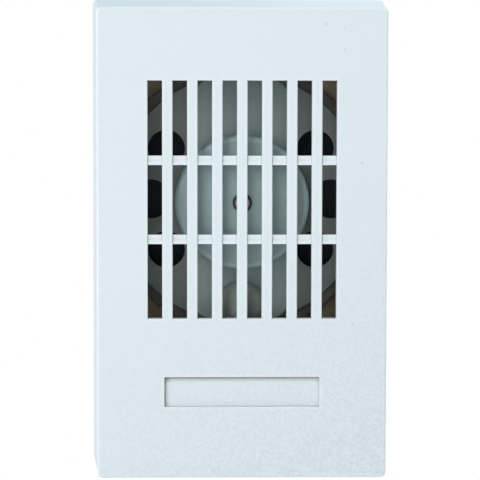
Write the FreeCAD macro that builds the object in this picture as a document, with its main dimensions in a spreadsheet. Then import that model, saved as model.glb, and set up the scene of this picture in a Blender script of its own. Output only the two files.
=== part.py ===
import FreeCAD, Part
import os
import re

import Sketcher

# A wall doorbell: a slotted cover over a base tray that carries a small dome bell and its magnet.
# X runs to the viewer's right and Z up. Y runs into the wall, whose face is Y = 0.
# Depths are written as the distance out from the wall, so a depth of 10 lies at Y = -10.
# The origin is the middle of the tray's back face. Lengths are in millimetres, angles in degrees.

VECTOR = FreeCAD.Vector
DOCUMENT = FreeCAD.newDocument("Doorbell")

SIZES = {
    # Cover
    "cover_width": 75.0,
    "cover_height": 122.0,
    "cover_depth": 42.0,
    "cover_draft": 2.2,
    "cover_wall": 2.2,
    "front_wall": 2.2,
    "skirt_gap": 0.4,
    "corner_round": 1.4,
    "front_round": 0.6,
    # Grille
    "slot_count": 8,
    "slot_width": 3.72,
    "bar_width": 2.72,
    "slot_height": 61.55,
    "middle_row": 18.05,
    "crossbar_height": 2.4,
    "crossbar_drop": 0.45,
    "slot_round": 0.3,
    "grille_rise": 1.15,
    # Bare name recess
    "name_width": 40.2,
    "name_height": 7.8,
    "name_depth": 1.0,
    "name_up": 22.5,
    # Base tray
    "tray_gap": 0.3,
    "tray_floor": 3.0,
    "rim_height": 10.0,
    "rim_wall": 2.0,
    "tray_round": 1.0,
    "blind_floor": 1.0,
    # Axis that the bell, strap, plate and cup share
    "bell_x": 0.2,
    "bell_up": 71.3,
    # Sound cup and its plate
    "cup_side": 4.3,
    "cup_wall": 1.6,
    "cup_floor": 1.5,
    "cup_flange": 2.5,
    "cup_flange_wide": 2.7,
    "cup_side_gap": 0.4,
    "plate_seat": 1.7,
    "plate_thick": 1.2,
    "hole_inset": 7.65,
    "hole_radius": 4.9,
    "side_hole_radius": 5.2,
    "hole_spread": 34.2,
    # Brown boards behind the cup's flange, on four pegged pillars
    "board_thick": 2.0,
    "board_ease": 0.2,
    "board_web": 2.1,
    "board_height": 17.0,
    "wiring_width": 9.8,
    "rest_side": 4.2,
    "rest_inset": 4.8,
    "rest_edge": 2.2,
    "rest_radius": 2.0,
    "peg_radius": 1.0,
    "peg_fit": 0.05,
    # Strap and its two flush rivets
    "strap_width": 24.9,
    "strap_end_gap": 1.6,
    "strap_thick": 1.5,
    "strap_corner": 4.5,
    "rivet_spacing": 44.0,
    "rivet_radius": 1.2,
    "rivet_tail": 0.6,
    "rivet_tail_radius": 1.9,
    # Post, sleeve and bell
    "post_radius": 4.0,
    "post_thread": 6.0,
    "spacer_radius": 3.5,
    "bell_radius": 17.56,
    "bell_height": 8.0,
    "bell_wall": 1.2,
    "bell_lift": 4.9,
    "bell_hole": 2.0,
    "dome_radius": 120.0,
    "bell_round": 1.6,
    "grommet_radius": 2.47,
    "grommet_foot": 3.3,
    "grommet_flange": 0.6,
    "grommet_ease": 0.1,
    "washer_radius": 2.1,
    "washer_thick": 0.3,
    "screw_radius": 1.0,
    "screw_fit": 0.05,
    "head_radius": 1.9,
    "head_height": 1.1,
    "head_round": 0.35,
    "head_slot": 0.5,
    "head_slot_depth": 0.6,
    "front_gap": 2.2,
    # Screws put in from behind the tray
    "rear_radius": 1.5,
    "rear_head": 3.0,
    "rear_cone": 1.6,
    "rear_recess": 0.3,
    "rear_grip": 5.0,
    "rear_slot": 0.8,
    # Magnet
    "magnet_drop": 54.8,
    "magnet_side": 18.5,
    "coil_radius": 8.8,
    "flange_radius": 9.5,
    "flange_thick": 1.5,
    "tube_radius": 5.2,
    "core_radius": 4.0,
    "core_fit": 0.05,
    "pole_proud": 1.5,
    "air_gap": 3.1,
    "yoke_thick": 2.5,
    "yoke_width": 16.0,
    "leg_gap": 1.0,
    "leg_end_gap": 2.5,
    "ear_root": 8.0,
    "ear_thick": 2.0,
    "ear_gap": 0.3,
    "foot_length": 9.0,
    "foot_height": 13.0,
    "foot_screws": 7.0,
    # Hinge
    "pivot_side": 18.0,
    "pin_radius": 1.0,
    "pin_fit": 0.05,
    "pin_end": 1.1,
    "clip_radius": 2.0,
    "pin_clip_thick": 0.5,
    "hub_radius": 3.0,
    # Armature, arm and hammer ball
    "armature_thick": 3.0,
    "armature_length": 18.0,
    "shim_radius": 3.2,
    "shim_thick": 0.2,
    "arm_radius": 0.9,
    "arm_bend": 4.0,
    "arm_rise": 3.4,
    "arm_offset": 6.6,
    "arm_seat": 3.5,
    "arm_stop": 1.0,
    "socket_length": 6.0,
    "socket_wall": 1.1,
    "ball_radius": 6.58,
    "ball_left": 0.26,
    "ball_drop": 27.66,
    "ball_gap": 0.32,
    # Contact spring, bracket and set screw
    "leaf_thick": 0.4,
    "leaf_width": 8.0,
    "leaf_low": 1.5,
    "leaf_flat": 3.2,
    "leaf_rise": 4.6,
    "leaf_lean": 1.9,
    "stud_radius": 0.9,
    "stud_height": 0.5,
    "contact_gap": 0.1,
    "contact_rise": 4.5,
    "leaf_rivet": 0.8,
    "leaf_rivet_head": 1.3,
    "leaf_rivet_spacing": 4.4,
    "rivet_floor": 1.0,
    "bracket_side": 10.5,
    "bracket_thick": 2.0,
    "bracket_half": 4.0,
    "bracket_foot": 6.4,
    "bracket_top": 3.0,
    "insulator_thick": 2.0,
    "insulator_edge": 0.4,
    "bracket_screw_set": 4.2,
    "contact_screw_radius": 1.0,
    "contact_head_radius": 2.2,
    "contact_head_thick": 1.8,
    "contact_screw_out": 2.4,
    "nut_radius": 2.3,
    "nut_thick": 1.6,
    # Return spring
    "spring_radius": 2.0,
    "spring_wire": 0.3,
    "spring_turns": 6,
    "spring_drop": 3.0,
    "spring_back": 4.0,
    "eye_overlap": 0.3,
    "lug_reach": 2.0,
    "lug_pin": 0.8,
    "lug_thick": 2.0,
    "lug_half": 1.2,
    "spring_post_side": 5.5,
    "spring_post_radius": 1.2,
    # Terminal block and the two coil leads
    "block_side_gap": 0.6,
    "block_width": 11.0,
    "block_height": 16.0,
    "block_rise": 0.5,
    "pocket_width": 4.4,
    "pocket_height": 11.0,
    "pocket_depth": 9.0,
    "terminal_spacing": 5.4,
    "clamp_gap": 0.15,
    "clamp_depth": 6.0,
    "wire_hole": 1.25,
    "terminal_head": 1.9,
    "terminal_head_high": 1.5,
    "lead_radius": 0.45,
    "lead_bend": 2.2,
    "lead_climb": 2.0,
    "lead_step": 1.8,
    "lead_reach": 3.2,
    "lead_gap": 0.3,
    # Cable hole and wall fixings
    "cable_side_gap": 0.4,
    "cable_above": 9.0,
    "cable_bore": 2.5,
    "grommet_neck": 3.5,
    "cable_flange": 4.5,
    "cable_flange_thick": 1.2,
    "fixing_side": 9.5,
    "fixing_down": 9.0,
    "fixing_radius": 2.2,
    "fixing_slot": 8.0,
    "fixing_low_side": 10.5,
    "fixing_low_up": 7.5,
    # Spring clips that hold the cover
    "clip_width": 12.0,
    "clip_thick": 0.4,
    "clip_seat": 0.5,
    "clip_leg": 6.0,
    "clip_bulge": 0.3,
    "bulge_width": 8.0,
}

# Places that follow from the sizes. "past" is how far a cutting solid runs beyond the face that it cuts.
PLACES = {
    "past": "1",
    "slot_pitch": "slot_width + bar_width",
    "half_width": "cover_width / 2",
    "half_height": "cover_height / 2",
    "bell_z": "bell_up - half_height",
    "grille_z": "bell_z + grille_rise",
    "name_z": "name_up - half_height",
    "end_row": "(slot_height - middle_row) / 2 - crossbar_height",
    "row_step": "(middle_row + end_row) / 2 + crossbar_height",
    "inner_front": "cover_depth - front_wall",
    "head_top": "inner_front - front_gap",
    "head_seat": "head_top - head_height",
    "washer_seat": "head_seat - washer_thick",
    "bell_crown": "washer_seat - grommet_flange",
    "bell_rim": "bell_crown - bell_height",
    "strap_front": "bell_rim - bell_lift",
    "plate_front": "strap_front - strap_thick",
    "plate_back": "plate_front - plate_thick",
    "spacer_top": "bell_crown - bell_wall - grommet_ease - grommet_flange",
    "cup_seat": "tray_floor + cup_floor",
    "cup_outer": "half_width - cup_side",
    "cup_inner": "cup_outer - cup_wall",
    "cup_radius": "cup_outer + cup_flange_wide",
    "board_front": "plate_back - cup_flange",
    "board_back": "board_front - board_thick",
    "board_side": "tray_inner_x - cup_side_gap",
    "board_left": "wiring_width - tray_inner_x",
    "board_top": "bell_z + cup_outer + board_ease + board_web",
    "board_low": "bell_z - cup_outer - board_ease - board_web",
    "rest_x": "tray_inner_x - rest_side",
    "rest_high": "board_top - rest_inset",
    "rest_low": "board_low + rest_inset",
    "plate_radius": "cup_inner + plate_seat",
    "hole_circle": "cup_inner - hole_inset",
    "strap_length": "2 * (plate_radius - strap_end_gap)",
    "rim_draft": "cover_draft * (1 - rim_height / cover_depth)",
    "tray_half_x": "half_width + rim_draft - cover_wall - tray_gap",
    "tray_half_z": "half_height + rim_draft - cover_wall - tray_gap",
    "tray_inner_x": "tray_half_x - rim_wall",
    "tray_inner_z": "tray_half_z - rim_wall",
    "ball_x": "bell_x - ball_left",
    "ball_z": "bell_z - ball_drop",
    "magnet_z": "bell_z - magnet_drop",
    "magnet_left": "magnet_side - half_width",
    "pivot_x": "half_width - pivot_side",
    "bracket_x": "half_width - bracket_side",
    "spring_post_x": "half_width - spring_post_side",
    "ball_out": "strap_front + ball_gap + ball_radius",
    "magnet_out": "ball_out - arm_offset",
    "yoke_front": "magnet_out + yoke_width / 2",
    "yoke_back": "magnet_out - yoke_width / 2",
    "ear_front": "yoke_front + ear_gap + ear_thick",
    "ear_back": "yoke_back - ear_gap - ear_thick",
    "leg_low": "magnet_z + flange_radius + leg_gap",
    "leg_high": "leg_low + yoke_thick",
    "leg_right": "pivot_x - hub_radius - leg_end_gap",
    "yoke_left": "magnet_left - yoke_thick",
    "pivot_z": "leg_low + yoke_thick / 2",
    "armature_face": "pivot_x - armature_thick / 2",
    "armature_back": "armature_face + armature_thick",
    "armature_low": "pivot_z - armature_length",
    "pole_face": "armature_face - air_gap",
    "bobbin_right": "pole_face - pole_proud",
    "foot_x": "magnet_left + foot_length / 2",
    "arm_z": "pivot_z + arm_rise",
    "contact_z": "magnet_z + contact_rise",
    "leaf_z": "contact_z - leaf_flat - leaf_rise + leaf_low",
    "stud_face": "armature_back + leaf_thick + leaf_lean + stud_height",
    "bracket_right": "bracket_x + bracket_foot",
    "bracket_seat": "tray_floor + insulator_thick",
    "spring_z": "magnet_z - spring_drop",
    "spring_out": "magnet_out - spring_back",
    "lug_x": "armature_back + lug_reach",
    "eye_inner": "spring_radius - spring_wire",
    "left_eye_x": "lug_x + eye_inner - lug_pin",
    "right_eye_x": "spring_post_x - eye_inner + spring_post_radius",
    "coil_start": "left_eye_x + eye_overlap * spring_radius",
    "coil_end": "right_eye_x - eye_overlap * spring_radius",
    "block_left": "block_side_gap - tray_inner_x",
    "block_right": "block_left + block_width",
    "block_x": "block_left + block_width / 2",
    "block_low": "magnet_z + block_rise",
    "block_high": "block_low + block_height",
    "block_z": "block_low + block_height / 2",
    "block_front": "magnet_out",
    "pocket_floor": "block_front - pocket_depth",
    "clamp_front": "pocket_floor + clamp_depth",
    "lead_out": "pocket_floor + clamp_depth / 2",
    "lead_end": "magnet_z - sqrt(coil_radius ^ 2 - (magnet_out - lead_out) ^ 2) - lead_gap",
    "cable_x": "cable_flange + cable_side_gap - tray_inner_x",
    "cable_z": "block_high + cable_above",
    "fixing_x": "half_width - fixing_side",
    "fixing_top": "half_height - fixing_down",
    "fixing_low_x": "half_width - fixing_low_side",
    "fixing_low": "fixing_low_up - half_height",
    "clip_outer": "tray_half_z - clip_seat + clip_thick",
    "clip_inner": "tray_inner_z - clip_thick",
}

SHEET = DOCUMENT.addObject("Spreadsheet::Sheet", "Sizes")
for row, (word, value) in enumerate(SIZES.items(), start=1):
    SHEET.set(f"A{row}", word)
    SHEET.set(f"B{row}", str(value))
    SHEET.setAlias(f"B{row}", word)
DOCUMENT.recompute()

PIECES = {}

# Turns that lay a primitive's own Z axis along another axis
ALONG_Y = FreeCAD.Rotation(VECTOR(1, 0, 0), 90)
ALONG_X = FreeCAD.Rotation(VECTOR(0, 1, 0), 90)
ALONG_Z = FreeCAD.Rotation()


def formula(text):
    """Writes out the places named in an expression, down to the sheet's cells."""

    def cell(match):
        word = match.group(0)
        if word in PLACES:
            return f"({formula(PLACES[word])})"
        if word in SIZES:
            return f"Sizes.{word}"
        return word

    return re.sub(r"[a-z]\w*", cell, str(text))


def size(word):
    """A size as it stands in the sheet."""
    return float(SHEET.get(word))


def bind(item, **properties):
    for name, text in properties.items():
        item.setExpression(name, formula(text))


def place(item, x, y, z, turn=ALONG_Z):
    """Puts an item's own origin at a point given by three expressions."""
    item.Placement = FreeCAD.Placement(VECTOR(), turn)
    for axis, text in zip("xyz", (x, y, z)):
        item.setExpression(f"Placement.Base.{axis}", formula(text))


def piece(label, item):
    """Names a finished sub-part, which is written to a file of that name."""
    item.Label = label
    PIECES[label] = item
    return item


# Solids that lie at a depth out from the wall


def block(name, left, right, back, front, low, high):
    box = DOCUMENT.addObject("Part::Box", name)
    bind(box, Length=f"({right}) - ({left})", Width=f"({front}) - ({back})", Height=f"({high}) - ({low})")
    place(box, left, f"-({front})", low)
    return box


def rod_out(name, x, z, back, front, radius):
    """A rod square to the wall."""
    rod = DOCUMENT.addObject("Part::Cylinder", name)
    bind(rod, Radius=radius, Height=f"({front}) - ({back})")
    place(rod, x, f"-({back})", z, ALONG_Y)
    return rod


def rod_across(name, left, right, out, z, radius):
    """A rod that runs from left to right."""
    rod = DOCUMENT.addObject("Part::Cylinder", name)
    bind(rod, Radius=radius, Height=f"({right}) - ({left})")
    place(rod, left, f"-({out})", z, ALONG_X)
    return rod


def rod_up(name, x, out, low, high, radius):
    rod = DOCUMENT.addObject("Part::Cylinder", name)
    bind(rod, Radius=radius, Height=f"({high}) - ({low})")
    place(rod, x, f"-({out})", low)
    return rod


def cone_out(name, x, z, back, front, back_radius, front_radius):
    cone = DOCUMENT.addObject("Part::Cone", name)
    bind(cone, Radius1=back_radius, Radius2=front_radius, Height=f"({front}) - ({back})")
    place(cone, x, f"-({back})", z, ALONG_Y)
    return cone


def hexagon(name, x, y, z, turn, radius, height):
    prism = DOCUMENT.addObject("Part::Prism", name)
    prism.Polygon = 6
    bind(prism, Circumradius=radius, Height=height)
    place(prism, x, y, z, turn)
    return prism


def bend(name, x, z, out, turn, radius, start):
    """A quarter of a ring in the plane of the wall, from a start angle that counts from X towards Z."""
    ring = DOCUMENT.addObject("Part::Torus", name)
    ring.Angle3 = 90
    bind(ring, Radius1=turn, Radius2=radius)
    place(ring, x, f"-({out})", z, ALONG_Y * FreeCAD.Rotation(VECTOR(0, 0, 1), start))
    return ring


def cut(name, base, *tools):
    result = DOCUMENT.addObject("Part::Cut", name)
    result.Base = base
    result.Tool = tools[0] if len(tools) == 1 else group(f"{name}_tools", *tools)
    result.Refine = True
    return result


def fuse(name, *shapes):
    result = DOCUMENT.addObject("Part::MultiFuse", name)
    result.Shapes = list(shapes)
    result.Refine = True
    return result


def group(name, *shapes):
    result = DOCUMENT.addObject("Part::Compound", name)
    result.Links = list(shapes)
    return result


# Bodies built from sketches on the plane of the wall


def new_body(name):
    return DOCUMENT.addObject("PartDesign::Body", name)


def wall_sketch(body, name, out):
    """A sketch parallel to the wall, whose own axes are X and Z."""
    sketch = body.newObject("Sketcher::SketchObject", name)
    for plane in body.Origin.OriginFeatures:
        if plane.Role == "XZ_Plane":
            sketch.AttachmentSupport = [(plane, "")]
    sketch.MapMode = "FlatFace"
    sketch.setExpression("AttachmentOffset.Base.z", formula(out))
    return sketch


def pin_point(sketch, line, end, x, y):
    """Ties one end of a line, or a circle's centre, to a place in the sketch."""
    for kind, text in (("DistanceX", x), ("DistanceY", y)):
        index = sketch.addConstraint(Sketcher.Constraint(kind, -1, 1, line, end, 1.0))
        sketch.setExpression(f"Constraints[{index}]", formula(text))


def draw_polygon(sketch, corners):
    """A closed outline of straight lines through the given corners."""
    first = sketch.GeometryCount
    count = len(corners)
    for index in range(count):
        start = VECTOR(index, index * index, 0)
        end = VECTOR(index + 1, (index + 1) ** 2, 0)
        sketch.addGeometry(Part.LineSegment(start, end), False)
    for index, (x, y) in enumerate(corners):
        follower = first + (index - 1) % count
        sketch.addConstraint(Sketcher.Constraint("Coincident", follower, 2, first + index, 1))
        pin_point(sketch, first + index, 1, x, y)


def draw_rectangle(sketch, x, z, wide, tall):
    low_x, high_x = f"({x}) - ({wide}) / 2", f"({x}) + ({wide}) / 2"
    low_z, high_z = f"({z}) - ({tall}) / 2", f"({z}) + ({tall}) / 2"
    draw_polygon(sketch, [(low_x, low_z), (high_x, low_z), (high_x, high_z), (low_x, high_z)])


def draw_circle(sketch, x, z, radius):
    circle = sketch.addGeometry(Part.Circle(VECTOR(1, 1, 0), VECTOR(0, 0, 1), 1.0), False)
    index = sketch.addConstraint(Sketcher.Constraint("Radius", circle, 1.0))
    sketch.setExpression(f"Constraints[{index}]", formula(radius))
    pin_point(sketch, circle, 3, x, z)


def pad(body, sketch, name, length):
    feature = body.newObject("PartDesign::Pad", name)
    feature.Profile = sketch
    bind(feature, Length=length)
    DOCUMENT.recompute()
    return feature


def pocket(body, sketch, name, depth):
    """Cuts from the sketch towards the wall, and makes sure that it cut something."""
    before = body.Shape.Volume
    feature = body.newObject("PartDesign::Pocket", name)
    feature.Profile = sketch
    bind(feature, Length=depth)
    DOCUMENT.recompute()
    if body.Shape.Volume >= before:
        raise ValueError(f"{name} cut nothing")
    return feature


def loft(body, kind, name, first, second):
    feature = body.newObject(f"PartDesign::{kind}Loft", name)
    feature.Profile = first
    feature.Sections = [second]
    feature.Ruled = True
    DOCUMENT.recompute()
    return feature


def edges_where(feature, wanted):
    """Names of a feature's edges that pass a test."""
    edges = enumerate(feature.Shape.Edges, start=1)
    return [f"Edge{number}" for number, edge in edges if wanted(edge)]


def round_edges(body, base, name, edges, radius):
    feature = body.newObject("PartDesign::Fillet", name)
    feature.Base = (base, edges)
    bind(feature, Radius=radius)
    DOCUMENT.recompute()
    return feature


def at_depth(edge, out):
    """Whether an edge lies wholly at one depth out from the wall."""
    return all(abs(vertex.Point.y + out) < 0.001 for vertex in edge.Vertexes)


def runs_out(edge):
    """Whether an edge leads from one depth to another."""
    depths = [vertex.Point.y for vertex in edge.Vertexes]
    return max(depths) - min(depths) > 1.0


# Cover


def make_cover():
    body = new_body("cover")
    back = wall_sketch(body, "cover_back", "skirt_gap")
    draw_rectangle(back, "0", "0", "cover_width + 2 * cover_draft", "cover_height + 2 * cover_draft")
    front = wall_sketch(body, "cover_front", "cover_depth")
    draw_rectangle(front, "0", "0", "cover_width", "cover_height")
    shell = loft(body, "Additive", "cover_shell", back, front)
    corners = edges_where(shell, runs_out)
    rounded = round_edges(body, shell, "cover_corners", corners, "corner_round")
    face = size("cover_depth")
    rim = edges_where(rounded, lambda edge: at_depth(edge, face))
    round_edges(body, rounded, "cover_front_edges", rim, "front_round")
    hollow_cover(body)
    cut_grille(body)
    name = wall_sketch(body, "name_outline", "cover_depth")
    draw_rectangle(name, "0", "name_z", "name_width", "name_height")
    pocket(body, name, "name_recess", "name_depth")
    piece("cover", body)


def hollow_cover(body):
    before = body.Shape.Volume
    outline = "+ 2 * cover_draft - 2 * cover_wall"
    back = wall_sketch(body, "hollow_back", "skirt_gap")
    draw_rectangle(back, "0", "0", f"cover_width {outline}", f"cover_height {outline}")
    inner_draft = "cover_draft * (1 - (inner_front - skirt_gap) / (cover_depth - skirt_gap))"
    inner = f"+ 2 * {inner_draft} - 2 * cover_wall"
    front = wall_sketch(body, "hollow_front", "inner_front")
    draw_rectangle(front, "0", "0", f"cover_width {inner}", f"cover_height {inner}")
    loft(body, "Subtractive", "cover_hollow", back, front)
    if body.Shape.Volume >= before:
        raise ValueError("the cover was not hollowed")


def cut_grille(body):
    """One column of three openings behind a full-height groove, repeated across the front."""
    first_x = "-slot_pitch * (slot_count - 1) / 2"
    groove = wall_sketch(body, "groove_outline", "cover_depth")
    draw_rectangle(groove, first_x, "grille_z", "slot_width", "slot_height")
    shallow = pocket(body, groove, "slot_groove", "crossbar_drop")
    openings = wall_sketch(body, "opening_outlines", "cover_depth")
    draw_rectangle(openings, first_x, "grille_z", "slot_width", "middle_row")
    for middle in ("grille_z + row_step", "grille_z - row_step"):
        draw_rectangle(openings, first_x, middle, "slot_width", "end_row")
    deep = pocket(body, openings, "slot_openings", "front_wall + past")
    before = body.Shape.Volume
    columns = body.newObject("PartDesign::LinearPattern", "grille_columns")
    columns.Originals = [shallow, deep]
    columns.Direction = (groove, ["H_Axis"])
    bind(columns, Length="slot_pitch * (slot_count - 1)", Occurrences="slot_count")
    body.Tip = columns
    DOCUMENT.recompute()
    if body.Shape.Volume >= before:
        raise ValueError("the grille was not repeated")
    face = size("cover_depth")
    half_wide = size("cover_width") / 2 - size("cover_wall")

    def slot_edge(edge):
        middle = edge.BoundBox.Center
        return at_depth(edge, face) and abs(middle.x) < half_wide and edge.Length < size("slot_height") + 1

    edges = edges_where(columns, slot_edge)
    round_edges(body, columns, "slot_edges", edges, "slot_round")


# Where the four pillars stand
RESTS = {
    "upper_left": ("-rest_x", "rest_high"),
    "upper_right": ("rest_x", "rest_high"),
    "lower_left": ("board_left + rest_edge", "rest_low"),
    "lower_right": ("rest_x", "rest_low"),
}

# Base tray


def rear_screw(name, x, z, tip):
    """A countersunk screw put in from behind, flush below the tray's back face."""
    head = cone_out(
        f"{name}_head", x, z, "rear_recess", "rear_recess + rear_cone", "rear_head", "rear_radius",
    )
    shank = rod_out(f"{name}_shank", x, z, "rear_recess + rear_cone", tip, "rear_radius")
    whole = fuse(f"{name}_blank", head, shank)
    left, right = f"({x}) - rear_head", f"({x}) + rear_head"
    low, high = f"({z}) - rear_slot / 2", f"({z}) + rear_slot / 2"
    slot = block(f"{name}_slot", left, right, "0", "rear_recess + rear_slot", low, high)
    return cut(name, whole, slot)


def rear_screw_hole(name, x, z):
    """The countersunk hole for a rear screw, through the tray's floor."""
    wide, narrow = "rear_head + screw_fit", "rear_radius + screw_fit"
    mouth = rod_out(f"{name}_mouth", x, z, "-past", "rear_recess", wide)
    cone = cone_out(f"{name}_cone", x, z, "rear_recess", "rear_recess + rear_cone", wide, narrow)
    through = rod_out(f"{name}_through", x, z, "rear_recess + rear_cone", "tray_floor + past", narrow)
    return fuse(name, mouth, cone, through)


def fixing_slot(name, x):
    half = "fixing_slot / 2 - fixing_radius"
    left = rod_out(
        f"{name}_left", f"({x}) - ({half})", "fixing_top", "-past", "tray_floor + past",
        "fixing_radius",
    )
    right = rod_out(
        f"{name}_right", f"({x}) + ({half})", "fixing_top", "-past", "tray_floor + past",
        "fixing_radius",
    )
    low, high = "fixing_top - fixing_radius", "fixing_top + fixing_radius"
    bar = block(
        f"{name}_bar", f"({x}) - ({half})", f"({x}) + ({half})", "-past", "tray_floor + past", low,
        high,
    )
    return fuse(name, left, bar, right)


def make_tray():
    body = new_body("tray_moulding")
    outline = wall_sketch(body, "tray_outline", "0")
    draw_rectangle(outline, "0", "0", "2 * tray_half_x", "2 * tray_half_z")
    blank = pad(body, outline, "tray_blank", "rim_height")
    round_edges(body, blank, "tray_corners", edges_where(blank, runs_out), "tray_round")
    inside = wall_sketch(body, "tray_inside", "rim_height")
    draw_rectangle(inside, "0", "0", "2 * tray_inner_x", "2 * tray_inner_z")
    pocket(body, inside, "tray_hollow", "rim_height - tray_floor")
    pillar_low, pillar_high = "pivot_z - hub_radius", "leg_high"
    pillar = block(
        "hinge_pillar", "ear_root", "leg_right", "tray_floor - past", "ear_back", pillar_low,
        pillar_high,
    )
    holes = [
        rear_screw_hole("post_screw_hole", "bell_x", "bell_z"),
        rear_screw_hole("upper_foot_hole", "foot_x", "magnet_z + foot_screws / 2"),
        rear_screw_hole("lower_foot_hole", "foot_x", "magnet_z - foot_screws / 2"),
        rear_screw_hole("block_screw_hole", "block_x", "block_z"),
        rod_out("cable_hole", "cable_x", "cable_z", "-past", "tray_floor + past", "grommet_neck"),
        rod_out(
            "low_fixing_hole", "fixing_low_x", "fixing_low", "-past", "tray_floor + past",
            "fixing_radius",
        ),
        fixing_slot("left_fixing", "-fixing_x"),
        fixing_slot("right_fixing", "fixing_x"),
        bracket_screw_bore("bracket_screw_hole"),
        rod_out(
            "spring_post_hole", "spring_post_x", "spring_z", "blind_floor", "tray_floor + past",
            "spring_post_radius",
        ),
    ]
    for name, (x, z) in RESTS.items():
        holes.append(
            rod_out(f"{name}_foot_hole", x, z, "blind_floor", "tray_floor + past", "peg_radius")
        )
    half = "clip_width / 2 + clip_bulge"
    for name, low, high in (
        ("top_clip_seat", "tray_half_z - clip_seat", "tray_half_z + past"),
        ("bottom_clip_seat", "-tray_half_z - past", "clip_seat - tray_half_z"),
    ):
        holes.append(block(name, f"-({half})", half, "tray_floor", "rim_height + past", low, high))
    moulding = fuse("tray_with_pillar", body, pillar)
    piece("base_tray", cut("tray", moulding, *holes))


def make_cable_grommet():
    neck = rod_out("grommet_neck_part", "cable_x", "cable_z", "rear_recess", "tray_floor", "grommet_neck")
    top = "tray_floor + cable_flange_thick"
    flange = rod_out("grommet_flange_part", "cable_x", "cable_z", "tray_floor", top, "cable_flange")
    bore = rod_out("grommet_bore", "cable_x", "cable_z", "0", f"{top} + past", "cable_bore")
    piece("cable_grommet", cut("grommet", fuse("grommet_blank", neck, flange), bore))


def make_cover_clips():
    """Two spring clips that ride on the tray's top and bottom rims and grip the cover inside."""
    clips = []
    half = "clip_width / 2"
    top = "rim_height + clip_thick"
    for name, sign in (("top", ""), ("bottom", "-")):
        levels = ["clip_inner", "tray_inner_z", "tray_half_z - clip_seat", "clip_outer"]
        inner, inner_face, seat, outer = (f"{sign}({level})" for level in levels)
        if sign:
            inner, inner_face, seat, outer = inner_face, inner, outer, seat
            bridge_low, bridge_high = seat, inner_face
        else:
            bridge_low, bridge_high = inner, outer
        back = "rim_height - clip_leg"
        legs = [
            block(f"{name}_inner_leg", f"-{half}", half, back, top, inner, inner_face),
            block(f"{name}_outer_leg", f"-{half}", half, back, top, seat, outer),
            block(f"{name}_bridge", f"-{half}", half, "rim_height", top, bridge_low, bridge_high),
            rod_across(
                f"{name}_bulge", "-bulge_width / 2", "bulge_width / 2",
                "rim_height - clip_leg / 2", f"{sign}(clip_outer)", "clip_bulge",
            ),
        ]
        clips.append(fuse(f"{name}_clip", *legs))
    piece("cover_clips", group("clips", *clips))


# Sound cup, plate and strap


def make_sound_cup():
    wall = rod_out("cup_wall_part", "bell_x", "bell_z", "tray_floor", "plate_back", "cup_outer")
    flange = rod_out("cup_flange_part", "bell_x", "bell_z", "board_front", "plate_back", "cup_radius")
    low, high = "bell_z - cup_radius - past", "bell_z + cup_radius + past"
    sides = block("cup_sides", "-(board_side)", "board_side", "0", "plate_back + past", low, high)
    outside = DOCUMENT.addObject("Part::Common", "cup_outside")
    outside.Base = fuse("cup_blank", wall, flange)
    outside.Tool = sides
    hollow = rod_out("cup_hollow", "bell_x", "bell_z", "cup_seat", "plate_back + past", "cup_inner")
    hole = rod_out("cup_screw_hole", "bell_x", "bell_z", "0", "cup_seat + past", "rear_radius + screw_fit")
    piece("sound_cup", cut("cup", outside, hollow, hole))


def make_boards():
    """Two boards that fit round the cup under its flange, with a peg hole over each pillar."""
    for name, left, low, high in (
        ("upper_board", "-(board_side)", "board_top - board_height", "board_top"),
        ("lower_board", "board_left", "board_low", "board_low + board_height"),
    ):
        blank = block(f"{name}_blank", left, "board_side", "board_back", "board_front", low, high)
        holes = [
            rod_out(
                f"{name}_cup_hole", "bell_x", "bell_z", "board_back - past", "board_front + past",
                "cup_outer + board_ease",
            ),
        ]
        side = name.split("_")[0]
        for rest, (x, z) in RESTS.items():
            if rest.startswith(side):
                holes.append(
                    rod_out(
                        f"{rest}_peg_hole", x, z, "board_back - past", "board_front + past",
                        "peg_radius + peg_fit",
                    )
                )
        piece(name, cut(f"{name}_part", blank, *holes))


def make_board_pillars():
    pillars = []
    for name, (x, z) in RESTS.items():
        pin = rod_out(f"{name}_pin", x, z, "blind_floor", "board_front", "peg_radius")
        stand = rod_out(f"{name}_stand", x, z, "tray_floor", "board_back", "rest_radius")
        pillars.append(fuse(f"{name}_pillar", pin, stand))
    piece("board_pillars", group("pillars", *pillars))


def make_cup_plate():
    """A round plate about the bell's axis, with three holes each side."""
    body = new_body("cup_plate")
    place(body, "bell_x", "0", "bell_z")
    disc = wall_sketch(body, "plate_outline", "plate_back")
    draw_circle(disc, "0", "0", "plate_radius")
    pad(body, disc, "plate_disc", "plate_thick")
    small = wall_sketch(body, "plate_small_holes", "plate_front")
    draw_circle(small, "0", "0", "screw_radius + screw_fit")
    draw_circle(small, "0", "rivet_spacing / 2", "rivet_radius")
    draw_circle(small, "0", "-rivet_spacing / 2", "rivet_radius")
    pocket(body, small, "plate_fixing_holes", "plate_thick")
    side = wall_sketch(body, "plate_sound_holes", "plate_front")
    draw_circle(side, "hole_circle", "0", "side_hole_radius")
    across, up = "hole_circle * cos(hole_spread)", "hole_circle * sin(hole_spread)"
    draw_circle(side, across, up, "hole_radius")
    draw_circle(side, across, f"-{up}", "hole_radius")
    right = pocket(body, side, "right_sound_holes", "plate_thick")
    before = body.Shape.Volume
    left = body.newObject("PartDesign::Mirrored", "left_sound_holes")
    left.Originals = [right]
    left.MirrorPlane = (side, ["V_Axis"])
    body.Tip = left
    DOCUMENT.recompute()
    if body.Shape.Volume >= before:
        raise ValueError("the plate's holes were not mirrored")
    piece("cup_plate", body)


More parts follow.
